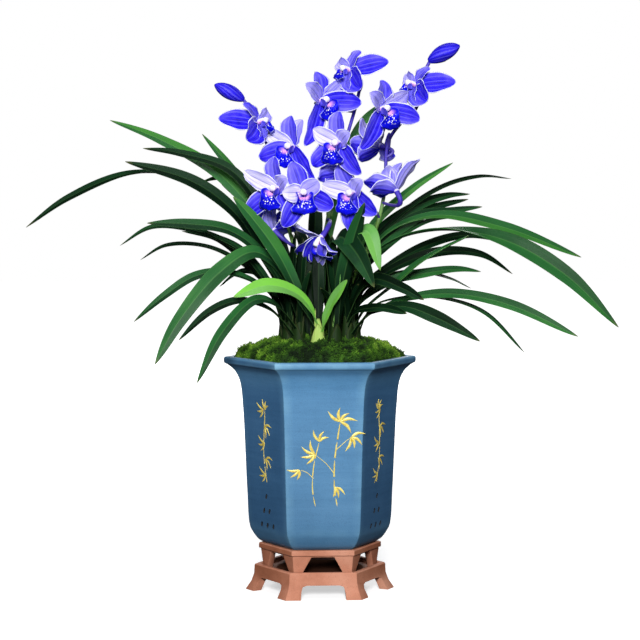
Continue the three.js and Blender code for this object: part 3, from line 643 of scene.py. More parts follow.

# Leaf growths, as in the solids: place in the crown, and for each leaf its heading in degrees from +X, width,
# roll of the upper face towards the front, arch as [distance out, height], tone from 0, dark green, to 1.5,
# young yellow-green, whose dark end is partly painted shade for leaves that lie in shade, and for some the
# shares of the length between which the leaf takes up its roll

CROWN_RADIUS = 32
LEAF_FOOT = 236
FAN_WIDTH = 6
GROWTHS = {
    "growth_front": (264, [
        (192, 17, 75, [[14, 268], [37, 314], [61, 347], [80, 368]], 0.7),
        (204, 15.5, 60, [[8, 265], [22, 279], [51, 287.5], [86, 278]], 1.48),
        (-48, 13, 80, [[12, 262], [23, 277], [37, 293]], 1.46)]),
    "growth_front_left": (230, [
        (207, 9, 45, [[28, 263], [60, 274], [92, 265], [124, 240]], 0.15),
        (222, 11, 60, [[27, 268], [56, 275], [97, 247], [127, 204]], 0.5)]),
    "growth_left_front": (204, [
        (203, 17, 65, [[9, 298], [35, 317], [70, 299], [111, 255], [134, 217]], 0.6),
        (193, 13, 60, [[8, 286], [31, 319], [58, 337], [97, 343], [134, 344]], 0.42),
        (197, 10, 45, [[20, 279], [58, 298], [89, 296], [120, 278], [149, 255]], 0.42)]),
    "growth_left": (178, [
        (185, 15, 60, [[6, 281], [26, 321], [50, 355], [88, 382], [149, 400]], 0.12),
        (189, 9, 55, [[13, 281], [43, 319], [74, 335]], 0.4),
        (180, 8, 40, [[13, 281], [50, 322], [93, 338], [125, 339], [154, 322]], 0.3),
        (173, 11, 55, [[6, 281], [35, 344], [89, 383], [144, 389], [204, 366], [245, 338]], 0.14,
         (0.5, 0.8))]),
    "growth_left_back": (152, [
        (163, 11, 60, [[4, 280], [20, 342], [55, 391], [106, 408], [144, 413]], 0.16),
        (171, 8, 47, [[12, 270], [39, 304], [68, 327], [102, 335]], 0.15),
        (167, 7, 35, [[12, 270], [39, 300], [79, 320], [118, 321], [144, 307]], 0.18)]),
    "growth_back_left": (126, [
        (155, 13, 60, [[9, 279], [28, 328], [80, 387], [143, 421], [199, 441]], 0.76),
        (150, 11, 50, [[5, 279], [23, 334], [52, 370], [79, 385], [106, 381]], 0.08),
        (145, 9, 55, [[3, 279], [27, 331], [66, 365], [88, 379]], 0.3),
        (138, 10, 57, [[3, 279], [25, 330], [84, 394], [122, 428]], 0.7),
        (161, 8, 40, [[14, 265], [37, 293], [57, 296], [79, 281]], 0.15)]),
    "growth_back": (98, [
        (38.5, 13, 40, [[8, 280], [28, 362], [63, 435], [126, 470]], 0.82),
        (84, 15, 20, [[8, 290], [24, 340], [52, 366], [76, 358]], 0.12),
        (112, 14, 0, [[8, 285], [26, 325], [56, 340], [86, 318]], 0.2)]),
    "growth_back_right": (70, [
        (30, 13, 47, [[12, 279], [41, 320], [98, 356], [138, 367], [166, 369]], 0.3),
        (31, 9, 55, [[13, 279], [46, 335], [98, 375], [147, 400]], 0.8),
        (28, 11, 47, [[15, 279], [47, 321], [93, 349], [127, 358], [160, 364]], 0.12),
        (23, 8, 25, [[16, 279], [52, 330], [117, 374], [162, 386], [200, 384]], 0.04)]),
    "growth_right_back": (42, [
        (21, 13, 50, [[6, 279], [38, 321], [80, 348], [114, 353], [148, 357]], 0.4),
        (17, 7, 40, [[6, 279], [41, 317], [84, 343], [120, 348], [144, 347]], 0.38),
        (14, 11, 45, [[8, 270], [45, 301], [82, 320], [123, 330], [159, 324]], 0.1),
        (10, 14, 60, [[7, 279], [40, 331], [89, 349], [159, 337], [237, 308]], 0.74, (0.3, 0.65))]),
    "growth_right": (14, [
        (9, 7, 27, [[6, 267], [33, 292], [65, 296], [94, 290], [116, 280]], 0.3),
        (4, 12, 45, [[3, 271], [30, 295], [77, 314], [121, 313], [153, 294]], 0.02),
        (0, 12, 45, [[6, 266], [37, 288], [72, 296], [101, 299], [121, 297]], 0.6),
        (-5, 20, 65, [[2, 280], [26, 319], [76, 336], [141, 327], [198, 295], [249, 245]], 0.56,
         (0.4, 0.7))]),
    "growth_right_front": (-14, [
        (-10, 12, 20, [[9, 261], [35, 284], [66, 310], [107, 332]], 0.7),
        (-16, 6, 35, [[17, 265], [53, 275], [85, 274], [123, 261], [160, 225]], 0.34),
        (-24, 13, 50, [[10, 254], [42, 271], [92, 279], [150, 270], [214, 243]], 0.62)]),
    "growth_front_right": (-42, [
        (-32, 14, 50, [[22, 259], [56, 268], [91, 259], [135, 239]], 0.24),
        (-38, 14, 50, [[11, 277], [28, 292], [60, 285], [84, 275]], 0.1),
        (-47, 11, 50, [[9, 260], [30, 266], [53, 266], [74, 263]], 0.2)]),
    "growth_front_centre": (-68, [
        (-56, 17, -20, [[11, 287], [26, 326], [44, 363]], 0.36),
        (-36, 18, 32, [[7, 287], [18, 326], [34, 337], [49, 301]], 1.25),
        (-60, 21, 38, [[-1, 286], [-6, 318], [8, 331], [34, 318], [64, 287]], 0.26)]),
}


def leaf(build, seat, heading, width, roll, arch, tone, twist=(0, 0.35), foot=0.0, steps=(58, 15),
         across=ACROSS):
    """foot is how far from the seat the leaf starts, and twist the shares between which it rolls."""
    out = polar(1, heading)
    path = spline([seat + out * reach + np.array([0, 0, z]) for reach, z in [[foot, LEAF_FOOT], *arch]])
    t = stations(*steps, 0.9975)
    along = path.along(t)
    upper = unit(np.stack([-out[0] * along[:, 2], -out[1] * along[:, 2], along @ out], -1))
    front = np.array([-out[1], out[0], 0]) if out[0] < 0 else np.array([out[1], -out[0], 0])
    wander = rng.random(4) * 2 * np.pi
    turn = math.radians(roll) * smooth(t, *twist)
    turn = column_of(turn + math.radians(7) * swing(t, 1.3, wander[0]) * smooth(t, 0.25, 0.6))
    face = upper * np.cos(turn) + front * np.sin(turn)
    half = (0.42 + 0.58 * smooth(t, 0.05, 0.65)) * np.power(1 - t**6, 0.8) * width / 2
    half = half * (1 + 0.03 * swing(t, 2.3, wander[1]))
    wide = column_of(half)
    x = across[None]
    fold = column_of(0.25 + 0.3 * (1 - smooth(t, 0, 0.3)))
    wave = column_of(swing(t, 3.1, wander[2])) * (x > 0) + column_of(swing(t, 2.7, wander[3])) * (x < 0)
    rise = fold * wide * (np.sqrt(x * x + 0.012) - 0.11) + 0.35 * wave * x * x * (wide / 6)
    rise = rise - 0.22 * np.exp(-(x / 0.09) ** 2) * np.minimum(1, wide / 3)
    depth = 0.16 + 0.26 * np.sqrt(1 - 0.98 * x * x) + 0.16 * np.exp(-(x / 0.12) ** 2)
    sheet(build, path, face, t, half, rise, depth * np.minimum(1, wide / 1.2), tone, across)


# The swollen base of a growth as [height, radius], its scale leaves as (top, width, girth), and how far they
# stand out as [height, radius]
BASE = np.array([[196.5, 5.2], [206, 5.8], [216, 6.0], [226, 6.1], [234, 5.7], [241, 4.9], [247, 3.9],
                 [252, 2.7], [256, 1.2]])
SCALE_LEAVES = ((252, 1.0, 1.02), (259, 0.95, 0.9), (266, 0.8, 0.78))
SCALE_BULGE = np.array([[206, 6.3], [222, 6.5], [236, 6.3], [248, 5.2], [268, 3.6]])
SCALE_FOOT = 206
SCALE_THICKNESS = 0.55


def sheath(build, seat, spin, tone):
    """A swollen base wrapped by three pointed scale leaves."""
    x, y = seat[:2]
    a = full_turn(28)
    z, r = BASE[:, :1], BASE[:, 1:]
    rings = grid(x + r * np.cos(a), y + r * np.sin(a), z)
    build.tube(rings, grid(a[None] / 6.28, z / 100), tone, (z - 196) / 60, 1)
    across = np.linspace(-1, 1, 19)
    level = column_of(np.linspace(0, 1, 16))
    for i, (top, wide, girth) in enumerate(SCALE_LEAVES):
        angle = spin + i * 2.25 + across * 2.2 * wide
        height = SCALE_FOOT + (top - SCALE_FOOT) * level * (1 - 0.82 * np.abs(across) ** 1.5)
        outer = np.interp(height, *SCALE_BULGE.T) * girth + 0.35 * (2 - i)
        outside, inside = (grid(x + radius * np.cos(angle), y + radius * np.sin(angle), height)
                           for radius in (outer, outer - SCALE_THICKNESS))
        rings = np.concatenate([outside, inside[:, ::-1]], 1)
        round_x = np.concatenate([across, across[::-1]])
        build.tube(rings, grid(round_x[None] / 2 + 0.5, level), tone, level, 1)


# Short leaves round the foot of each growth, painted dark as painted shade: turn from its place in the crown,
# width, reach and top. The growths at the very front have only the steep one, which leaves the young leaves in
# view.
SHORT_LEAVES = ((-68, 11, 20, 292), (72, 11, 18, 301), (180, 14, 7, 336))
SHORT_LEAF_START = 262
STEEP_REACH = 10
FRONT = (240, 290)

# Leaves painted nearly black, as painted shade, that fill the gaps at the front: shift of the seat, then as
# in the table of growths
FILLERS = {
    "growth_front_centre": ([0, 0, 0], 150, 20, 0, [[2, 280], [6, 310], [10, 340]], 0.02),
    "growth_front_left": ([7.5, 6, 0], 90, 16, 0, [[1, 258], [3, 285], [8, 322]], 0.02),
}


def short_leaves(build, seat, seat_angle):
    for turn, width, reach, top in SHORT_LEAVES:
        if FRONT[0] < seat_angle < FRONT[1] and reach > STEEP_REACH:
            continue
        middle = [0.55 * reach, (SHORT_LEAF_START + top) / 2]
        arch = [[0.2 * reach, SHORT_LEAF_START], middle, [reach, top - 8 * rng.random()]]
        # Painted shade: the short leaves are painted nearly black.
        tone = 0.04 + 0.12 * rng.random()
        leaf(build, seat, seat_angle + turn, width, 0, arch, tone, steps=(22, 9), across=ACROSS[::3])


def lean(entry):
    reach, height = entry[3][0]
    return reach / (height - LEAF_FOOT)


for name, (seat_angle, leaves) in GROWTHS.items():
    seat = polar(CROWN_RADIUS, seat_angle)
    build = Build()
    fan = sorted(leaves, key=lean)
    for i, entry in enumerate(fan):
        leaf(build, seat, *entry, foot=FAN_WIDTH * (i / (len(fan) - 1) - 0.5))
    short_leaves(build, seat, seat_angle)
    if name in FILLERS:
        shift, *entry = FILLERS[name]
        leaf(build, seat + np.array(shift), *entry)
    sheath(build, seat, math.radians(seat_angle), 1.0 if name == "growth_front" else 0.0)
    place(build.make(name + "_dressed", [LEAF, SHEATH]), name, "leaf")

# Flower spikes

STEM_RADIUS = 1.9
# Points of each spike, and the heights of its bracts
SPIKES = {
    "left": ([[-9, 0, 196], [-9, 0, 240], [-11, -3, 290], [-24, -6, 320], [-36, -10, 365], [-49, -14, 414],
              [-60, -16, 441], [-71, -18, 456]], [300, 350, 390]),
    "centre": ([[0, 9, 196], [0, 9, 240], [-1, 7, 290], [4, 4, 330], [14, 0, 374], [24, -4, 420],
                [33, -7, 452], [36, -9, 466]], [305, 352, 388]),
    "right": ([[11, -4, 196], [11, -4, 236], [31, -3, 292], [52, -3, 338], [60, -5, 374], [63, -6, 418],
               [75, -7, 436], [89, -8, 450], [90, -8, 470], [101, -8, 492]], [305, 376, 414]),
}
SPIKE_PATHS = {name: spline(points) for name, (points, _) in SPIKES.items()}


def at_height(path, z):
    t = float(np.interp(z, path.dense[:, 2], path.share))
    return path.at(t), path.along(t)


def purple(z):
    """How purple a spike is at a height."""
    return smooth(np.asarray(z, float), 330, 420)


def bract(build, path, z, degrees):
    point, along = at_height(path, z)
    out = polar(1, degrees)
    curve = bezier(point + out * 0.9 - along * 2, point + along * 6 + out * 1.9, point + along * 13 + out * 5)
    t = np.linspace(0, 0.985, 18)
    half = 3.0 * np.sqrt(1 - t**2)
    x = ACROSS[None]
    rise = column_of(half) * 0.55 * x * x * (1 - 0.5 * column_of(t))
    depth = 0.22 + 0.2 * (1 - x * x)
    sheet(build, curve, np.broadcast_to(-out, (len(t), 3)), t, half, rise, depth, purple(z) * 0.8)


for name, (_, bracts) in SPIKES.items():
    build = Build()
    path = SPIKE_PATHS[name]
    t = np.linspace(0, 1, 150)
    z = path.at(t)[:, 2]
    swell = sum(0.45 * np.exp(-((z - b) / 2.2) ** 2) for b in bracts)
    rod(build, path, t, column_of(STEM_RADIUS + swell - 0.35 * t), tone=column_of(purple(z)))
    for i, z in enumerate(bracts):
        bract(build, path, z, 160 * i - 60)
    place(build.make(f"spike_{name}_dressed", [STEM]), f"spike_{name}", "stem")

# Blooms: spike, centre, [heading, pitch] of the face, height of the joint on the spike, and tepals as
# [angle round the face, length, lean forward]

BLOOMS = [
    ("left", [-58, -37, 435], [-35, 8], 446,
     [[144, 29, 5], [45, 18, 15], [274, 16, 5], [168, 39, -33], [220, 24, -5]]),
    ("left", [-27, -40, 413], [-130, 0], 410,
     [[91, 29, 8], [151, 31, 14], [74, 27, -6], [198, 34, 22], [307, 41, 2]]),
    ("left", [-41, -52, 375], [-130, -2], 372,
     [[93, 30, 8], [148, 35, 28], [30, 22, 25], [215, 42, 9], [308, 27, 0]]),
    ("left", [-20, -60, 372], [-80, -5], 340,
     [[111, 30, 6], [180, 20, 18], [35, 19, 16], [335, 33, 2], [242, 36, 2]]),
    ("left", [-44, -19, 337], [150, 32], 322,
     [[56, 30, 15], [25, 34, 25], [155, 31, 20], [358, 18, 28], [171, 34, -10]]),
    ("centre", [25, -26, 483], [219, 6], 464,
     [[56, 22, 0], [143, 16, 15], [274, 20, 5], [19, 38, -33], [310, 23, -5]]),
    ("centre", [-1, -31, 455], [-52, 2], 446,
     [[107, 28, 8], [38, 32, 11], [151, 31, 20], [357, 39, 28], [240, 48, 6]]),
    ("centre", [15, -50, 416], [-128, -2], 404,
     [[87, 30, 8], [149, 28, 24], [32, 21, 25], [308, 36, 2], [217, 34, 14]]),
    ("centre", [19, -26, 391], [150, 8], 376,
     [[120, 19, 0], [345, 29, 25], [160, 21, -10], [306, 22, 25], [219, 28, 0]]),
    ("centre", [-1, -44, 331], [196, -57], 346,
     [[123, 35, 0], [179, 43, 30], [319, 24, 20], [218, 37, 36], [201, 38, 36]]),
    ("right", [86, -20, 470], [210, 8], 474,
     [[39, 25, 0], [133, 16, 15], [276, 18, 3], [10, 40, -33], [320, 24, -5]]),
    ("right", [53, -48, 447], [-52, 0], 432,
     [[94, 27, 8], [29, 32, 14], [146, 27, 20], [345, 38, 28], [232, 47, 6]]),
    ("right", [56, 4, 414], [150, 0], 404,
     [[116, 20, 0], [40, 40, 10], [205, 24, -10], [5, 35, 30], [337, 29, 25]]),
    ("right", [68, -33, 373], [130, 45], 362,
     [[107, 27, 45], [54, 26, 45], [103, 38, 10], [1, 35, 25], [354, 29, 12]]),
    ("right", [28, -50, 371], [-128, -3], 348,
     [[114, 31, 8], [163, 31, 24], [42, 21, 25], [322, 31, 2], [266, 36, 6]]),
]
# Headings of the three topmost blooms, which are just opening, and how broad each of their tepals is. Their
# lips and those of the blooms turned away are smaller than the others.
OPENING = (-35, 219, 210)
OPENING_SHAPE = (0.62, 0.9, 0.9, 1.0, 1.4)
TURNED_AWAY = 150
SMALL_LIP = 0.68
FULL_LIP = 1.18
SEPAL_WIDTH = 20.0
PETAL_WIDTH = 17.5
PETAL_INDICES = (1, 2)
PETAL_ACROSS = np.linspace(-1, 1, 27)


def bloom_axes(facing):
    heading, pitch = facing
    forward = polar(math.cos(math.radians(pitch)), heading, math.sin(math.radians(pitch)))
    right = unit(np.cross([0, 0, 1.0], forward))
    return forward, right, np.cross(forward, right)


def blade_depth(x, half, least):
    """Half the thickness of a blade, least at its edges and towards its point."""
    return (least + 0.28 * np.sqrt(1 - 0.98 * x * x)) * np.minimum(1, column_of(half) / 1.5)


def tepal(build, centre, axes, entry, width, pale, shade):
    """pale is the tone of a tepal, partly its own colour and partly painted light, and shade how much paler its
    left edge is than its right one, which is painted light.
    """
    forward, right, up = axes
    angle, length, lean_out = entry
    turn, tilt = math.radians(angle), math.radians(lean_out)
    away = right * math.cos(turn) + up * math.sin(turn)
    run, high = length * math.cos(tilt), length * math.sin(tilt)
    bend = centre + away * run * 0.55 + forward * (high * 0.55 + 3)
    path = bezier(centre + away * 1.0 - forward * 0.4, bend, centre + away * run + forward * high)
    t = stations(28, 10, 0.997)
    face = np.broadcast_to(forward * math.cos(tilt) - away * math.sin(tilt), (len(t), 3))
    shape = (t + 0.04) ** 0.62 * (1 - t) ** 0.66
    half = shape / shape.max() * width / 2
    x = PETAL_ACROSS[None]
    wander = rng.random(3) * 2 * np.pi
    cup = 0.26 * column_of(half) * np.abs(x) ** 1.7
    rib = 0.13 * np.cos(6 * np.pi * x) * (1 - x * x) - 0.6 * np.exp(-(x / 0.09) ** 2)
    wave = 0.8 * column_of(swing(t, 1.6, wander[0])) * np.abs(x) ** 3 * np.sign(x)
    wave = wave + 0.6 * column_of(swing(t, 2.6, wander[1])) * x**4
    curl = -1.8 * column_of(smooth(t, 0.72, 1.0))
    rise = cup + (rib + wave + curl) * column_of(smooth(t, 0, 0.2))
    tone = np.clip(pale - shade * there_and_back(x, x), 0, 1)
    sheet(build, path, face, t, half, rise, blade_depth(x, half, 0.12), tone, PETAL_ACROSS)


# Shares of the length of a column, a pedicel and a lip, with the radius or half width at each
COLUMN_RADII = ([0, 0.3, 0.6, 0.78, 0.9, 0.96, 1], [2.9, 2.5, 2.7, 3.3, 3.1, 2.3, 0.8])
PEDICEL_RADII = ([0, 0.1, 0.32, 0.5, 1], [2.5, 2.3, 2.15, 1.6, 1.35])
LIP_HALF = ([0, 0.10, 0.22, 0.34, 0.42, 0.50, 0.60, 0.72, 0.86, 1],
            [2.6, 6.0, 7.8, 8.2, 7.0, 7.4, 9.4, 10.8, 9.4, 1.6])
LIP_ACROSS = np.linspace(-1, 1, 35)
# Paths of a lip, as [distance forward, drop]
SMALL_LIP_PATH = [[3.4, 4.0], [7, 4.2], [11.5, 5.6], [14.5, 10]]
FULL_LIP_PATH = [[3.4, 4.6], [8, 5.8], [12.4, 9.2], [12.2, 19.5]]


def column(build, centre, axes):
    """The column, which arches over the lip, with its rounded cap. tone marks its pink underside."""
    forward, _, up = axes
    path = bezier(centre - forward * 1, centre + forward * 5.5 + up * 2.2, centre + forward * 10 - up * 0.2)
    t = np.linspace(0, 0.995, 26)
    a = full_turn(20)
    flat = np.where(np.sin(a) < 0, 0.72, 1.0)
    side = unit(np.cross(path.along(t), up))
    rings = round_rings(path, t, side, a, column_of(np.interp(t, *COLUMN_RADII)), flat)
    under = smooth(-np.sin(a), -0.5, 0.4)[None] * column_of(1 - smooth(t, 0.8, 0.95))
    build.tube(rings, grid(a[None] / 6.28, column_of(t)), under, column_of(t), 2)


def pedicel(build, centre, axes, foot):
    """The ribbed ovary behind the bloom, and the pedicel that carries it to its spike."""
    forward = axes[0]
    path = bezier(centre - forward * 0.5, centre - forward * 23 - np.array([0, 0, 3]), foot)
    t = np.linspace(0, 1, 44)
    ribs = 1 + 0.09 * np.cos(6 * full_turn(18))[None] * column_of(1 - smooth(t, 0.3, 0.5))
    tone = column_of(0.75 + 0.35 * (1 - smooth(t, 0.1, 0.6)))
    rod(build, path, t, column_of(np.interp(t, *PEDICEL_RADII)) * ribs, tone=tone, look=1)


def lip_halves(t):
    """Half the width of a lip, with the corners of its table rounded off."""
    kernel = np.hanning(7)
    padded = np.pad(np.interp(t, *LIP_HALF), 3, mode="edge")
    half = np.convolve(padded, kernel / kernel.sum(), "valid")
    return half * np.sqrt(np.clip(1 - smooth(t, 0.84, 1.0) ** 2, 0.0005, 1))


def lip(build, centre, axes, small):
    """Side lobes that stand up to points beside the column, two keels between them, and a drooping front
    lobe."""
    forward, _, up = axes
    points = SMALL_LIP_PATH if small else FULL_LIP_PATH
    path = spline([centre + forward * out - up * drop for out, drop in points])
    t = stations(44, 11, 0.996)
    half = lip_halves(t) * (SMALL_LIP if small else FULL_LIP)
    x, run, wide = LIP_ACROSS[None], column_of(t), column_of(half)
    upright = smooth(run, 0.0, 0.16) * (1 - smooth(run, 0.40, 0.56))
    trough = wide * (0.72 * upright * smooth(np.abs(x), 0.3, 1.0) + 0.1 * x * x)
    keels = np.exp(-((np.abs(x) - 0.17) / 0.07) ** 2)
    keels = keels * (smooth(run, 0.08, 0.2) * (1 - smooth(run, 0.5, 0.62)))
    grain = noise(10 * x + centre[0], 26 * run + centre[2])
    grain = grain * (smooth(run, 0.3, 0.42) * (1 - smooth(run, 0.6, 0.75)))
    droop = smooth(run, 0.55, 0.8)
    ruffle = 0.8 * np.sin(2 * np.pi * (3.2 * run + 0.6 * np.sign(x))) * np.abs(x) ** 4 * droop
    bowl = -2.2 * droop * x * x + 1.3 * droop * (1 - x * x)
    rise = trough + 0.9 * keels + 0.7 * np.maximum(grain, 0) * (1 - x**4) + ruffle + bowl
    inner = there_and_back(np.ones_like(x), np.zeros_like(x))
    narrowed = half * (1 - 0.14 * upright[:, 0])
    face = up * (1 - run) + forward * run
    sheet(build, path, face, t, narrowed, rise, blade_depth(x, half, 0.14), inner, LIP_ACROSS)


def tepal_tone_and_light(index, angle, heading):
    """How pale a tepal is, partly its own colour and partly painted light on tepals turned to the light, and
    how much paler its left edge is than its right one, which is painted light.
    """
    if heading in OPENING and index == 3:
        return 0.14, (0.2 if heading > 190 else -0.2)
    if heading > 100 and heading not in OPENING:
        return (0.6, 0.15) if 30 < angle < 130 else (0.25, 0.3)
    if index in PETAL_INDICES:
        if heading < -60 and 120 < angle < 200:
            return 0.9, 0.0
        return (0.55, 0.1) if 20 < angle < 160 else (0.34, 0.0)
    return (0.32, 0.08) if index == 0 else (0.2, -0.15)


counts = {name: 0 for name in SPIKES}
for spike, centre, facing, joint, tepals in BLOOMS:
    counts[spike] += 1
    node = f"bloom_{spike}_{counts[spike]}"
    centre = np.array(centre, float)
    axes = bloom_axes(facing)
    build = Build()
    for i, entry in enumerate(tepals):
        width = PETAL_WIDTH if i in PETAL_INDICES else SEPAL_WIDTH
        if facing[0] in OPENING:
            width *= OPENING_SHAPE[i]
        tepal(build, centre, axes, entry, width, *tepal_tone_and_light(i, entry[0], facing[0]))
    column(build, centre, axes)
    pedicel(build, centre, axes, at_height(SPIKE_PATHS[spike], joint)[0])
    place(build.make(node + "_dressed", [PETAL, STEM, COLUMN]), node, "petal")
    build = Build()
    lip(build, centre, axes, small=facing[0] in (*OPENING, TURNED_AWAY))
    place(build.make(node + "_lip_dressed", [LIP]), node + "_lip", "lip")

# Buds: start, tip and radius
BUDS = {
    "bud_left": ([-72.4, -18.2, 457], [-98, -20, 470], 5.6),
    "bud_right": ([101.6, -8.2, 493.2], [129, -10, 507], 6.4),
}


def bud(build, start, end, radius):
    """A closed bud of three tepals, each lapped over the next along a slanting seam."""
    start, end = np.array(start, float), np.array(end, float)
    start = start - unit(end - start) * 1.8
    path = bezier(start, (start + end) / 2 + np.array([0, 0, 1.2]), end)
    t = np.linspace(0, 0.993, 60)
    run = column_of(t)
    plump = 1.7 * (1 - run) + radius * np.sin(np.pi * np.power(run, 1.12)) ** 0.6
    a = full_turn(48)
    lap = (a[None] / (2 * np.pi) * 3 + 0.5 * run + 0.4) % 1.0
    shape = 1 + 0.085 * smooth(lap, 0.0, 1.0) * smooth(run, 0.05, 0.3) * (1 - smooth(run, 0.85, 1))
    shape = shape + 0.02 * np.cos(24 * a)[None] * smooth(run, 0.1, 0.4)
    side = unit(np.cross(path.along(t), np.array([0, 1, 0.01])))
    rings = round_rings(path, t, side, a, plump * shape)
    uv = grid(0.1 + 0.8 * lap, run * path.length / 100)
    tone = 0.28 * smooth(lap, 0.75, 1.0)
    build.tube(rings[:, ::-1], uv[:, ::-1], tone[:, ::-1], run * 0.9)


for name, (start, end, radius) in BUDS.items():
    build = Build()
    bud(build, start, end, radius)
    place(build.make(name + "_dressed", [PETAL]), name, "petal")

# Moss: a bumpy mound in the mouth of the pot, covered in short sprigs

# Levels of the mound as [radius towards a corner, height], and of the skirt inside the pot's mouth
MOUND = np.array([[0, 238], [13, 237.8], [27, 237.5], [41, 235.5], [54, 232.5], [66, 229.5], [76.5, 224],
                  [80.6, 218.5]])
MOUND_RADIUS = 80.4
SKIRT = [[80.0, 216.5], [77.6, 213], [71.1, 205.3]]
SPRIGS = 7600
SPRIG_RADIUS = 79.5
SPRIG_THICKNESS = 0.55
SPRIG_WAIST = 0.62


def hexagon(angle):
    """Share of its corners' radius at which a hexagon lies at an angle."""
    step = np.pi / 3
    return math.cos(step / 2) / np.cos((angle % step) - step / 2)


def moss_height(x, y):
    """Height of the mound, and how high its clumps stand there."""
    radius = np.hypot(x, y) / hexagon(np.arctan2(y, x))
    z = np.interp(radius, MOUND[:, 0], MOUND[:, 1])
    bumps = 1.4 * np.sin(x * 0.16 + 0.8) * np.sin(y * 0.19 + 2.1)
    bumps = bumps + 1.1 * np.sin(x * 0.47 + y * 0.21) * np.sin(y * 0.43 - x * 0.18 + 1.2)
    clump = 1.5 * noise(x / 7, y / 7, 0) + 1.0 * noise(x / 3.2, y / 3.2, 9)
    clump = clump + 0.5 * noise(x / 1.5, y / 1.5, 17)
    fade = 1 - smooth(radius, 74, 80.6)
    return z + (bumps + clump) * fade, clump


def moss_painted_shade(x, y):
    """Painted shade: the moss is painted darkest under the leaves, as their shadow, and in the middle of the
    front, and lightest at both sides.
    """
    under = 0.36 * np.exp(-(((x - 4) / 40) ** 2) - ((y + 60) / 30) ** 2)
    return under + 0.16 * np.exp(-(np.hypot(x, y) / 44) ** 2) - 0.2 * smooth(np.abs(x + 8), 36, 80)


def mound(build):
    a = full_turn(264)
    inner = column_of(np.linspace(0.6, MOUND_RADIUS, 88)) * hexagon(a)[None]
    x, y = inner * np.cos(a), inner * np.sin(a)
    z, clump = moss_height(x, y)
    rings = [np.stack([x, y, z], -1)]
    for radius, level in SKIRT:
        edge = radius * hexagon(a)
        rings.append(grid(edge * np.cos(a), edge * np.sin(a), level)[None])
    rings = np.concatenate(rings)[::-1]
    # The moss tone is lowered by painted shade under the leaves.
    tone = np.concatenate([0.42 + 0.24 * clump - moss_painted_shade(x, y), np.zeros((len(SKIRT), len(a)))])
    build.tube(rings, rings[..., :2] / 100, tone[::-1])


def sprig(build, foot, tip, spin, shade):
    """A three-sided spindle."""
    corners = [foot + polar(SPRIG_THICKNESS, spin + 120 * i) for i in range(3)]
    waist = [foot + (tip - foot) * 0.5 + polar(SPRIG_WAIST, spin + 60 + 120 * i) for i in range(3)]
    faces = [[2, 1, 0]]
    for i, j in ((0, 1), (1, 2), (2, 0)):
        faces += [[i, j, 3 + i], [j, 3 + j, 3 + i], [3 + i, 3 + j, 6]]
    tones = [shade - 0.3] * 3 + [shade] * 3 + [shade + 0.35]
    build.add([*corners, *waist, tip], faces, foot[:2] / 100, tones)


build = Build()
mound(build)
spread = rng.random((SPRIGS, 2))
angle = spread[:, 0] * 2 * np.pi
radius = SPRIG_RADIUS * np.sqrt(spread[:, 1]) * hexagon(angle)
x, y = radius * np.cos(angle), radius * np.sin(angle)
z, clump = moss_height(x, y)
length = np.maximum(1.1 + 1.5 * rng.random(SPRIGS) + 0.4 * clump, 1.0)
slant = (rng.random((SPRIGS, 2)) - 0.5) * 2.2 + np.stack([x, y], -1) / 60
feet = np.stack([x, y, z - 0.6], -1)
tips = feet + np.column_stack([slant, length])
# The sprig tones are lowered by painted shade under the leaves.
shades = 0.47 + 0.2 * clump - moss_painted_shade(x, y)
for foot, tip, spin, shade in zip(feet, tips, np.degrees(angle * 7), shades):
    sprig(build, foot, tip, spin, shade)
place(build.make("moss_dressed", [MOSS]), "moss", "moss")

# Pot

# Outline of the pot as [radius, height]: outer wall, lip and inner wall
POT_LOWER = [[53, 44.3], [58, 47.5], [63, 54], [66, 60.5], [68.4, 95], [70, 130], [72, 170], [75, 196],
             [80, 206], [86.6, 211.8]]
POT_LIP = [[88.6, 212.5], [89.6, 213.3], [90, 214.6], [90, 216.6], [89.7, 218], [88.8, 218.8], [87.6, 219]]
POT_INNER = [[83.2, 219], [82, 218.6], [81, 217.2], [78, 213], [71, 204], [67, 192], [64.5, 160], [59, 60.5],
             [57.5, 54], [54, 52.2]]
POT_ROUNDING = 1.2
# Where the glaze is painted lighter, partly worn and partly a painted highlight: height, span and amount
POT_WEAR_AND_HIGHLIGHT = ((216, 3.5, 0.6), (61, 4, 0.2))
DRAIN_RADIUS = 10
DRAIN_LEVELS = (40.0, 56.0)
SLIT = {"width": 2.9, "length": 5.2, "pitch": 8.4, "lowest": 64.5, "row": 13.5, "tilt": -25}
SLIT_FACES = (-30, 30, 150, 210)
SLIT_ROWS = 3
CUTTER_REACH = (30, 90)


def hex_ring(radius, rounding, flat=9, arc=6):
    """The outline of a hexagon with rounded corners, as (m, 2) points and how near each is to a corner."""
    points, near = [], []
    middle = radius - rounding / math.cos(math.pi / 6)
    for k in range(6):
        corner = polar(middle, 60 * k)[:2]
        for i in range(arc + 1):
            points.append(corner + polar(rounding, 60 * k - 30 + 60 * i / arc)[:2])
            near.append(1.0)
        following = polar(middle, 60 * k + 60)[:2] + polar(rounding, 60 * k + 30)[:2]
        for i in range(1, flat):
            share = i / flat
            points.append(points[k * (arc + flat) + arc] * (1 - share) + following * share)
            near.append(max(0.0, 1 - 30 * min(share, 1 - share)))
    return np.array(points), np.array(near)


def hex_body(build, profile):
    rings, tones = [], []
    for radius, level in profile:
        outline, near = hex_ring(radius, min(POT_ROUNDING, radius * 0.3))
        rings.append(np.column_stack([outline, np.full(len(outline), level)]))
        # The lip and the corners are painted lighter: partly wear, partly painted highlight.
        worn = sum(amount * math.exp(-((level - at) / span) ** 2) for at, span, amount in POT_WEAR_AND_HIGHLIGHT)
        tones.append(near * 0.4 + worn)
    rings = np.array(rings)
    build.tube(rings, rings[..., ::2] / 100, np.clip(np.array(tones), 0, 1))


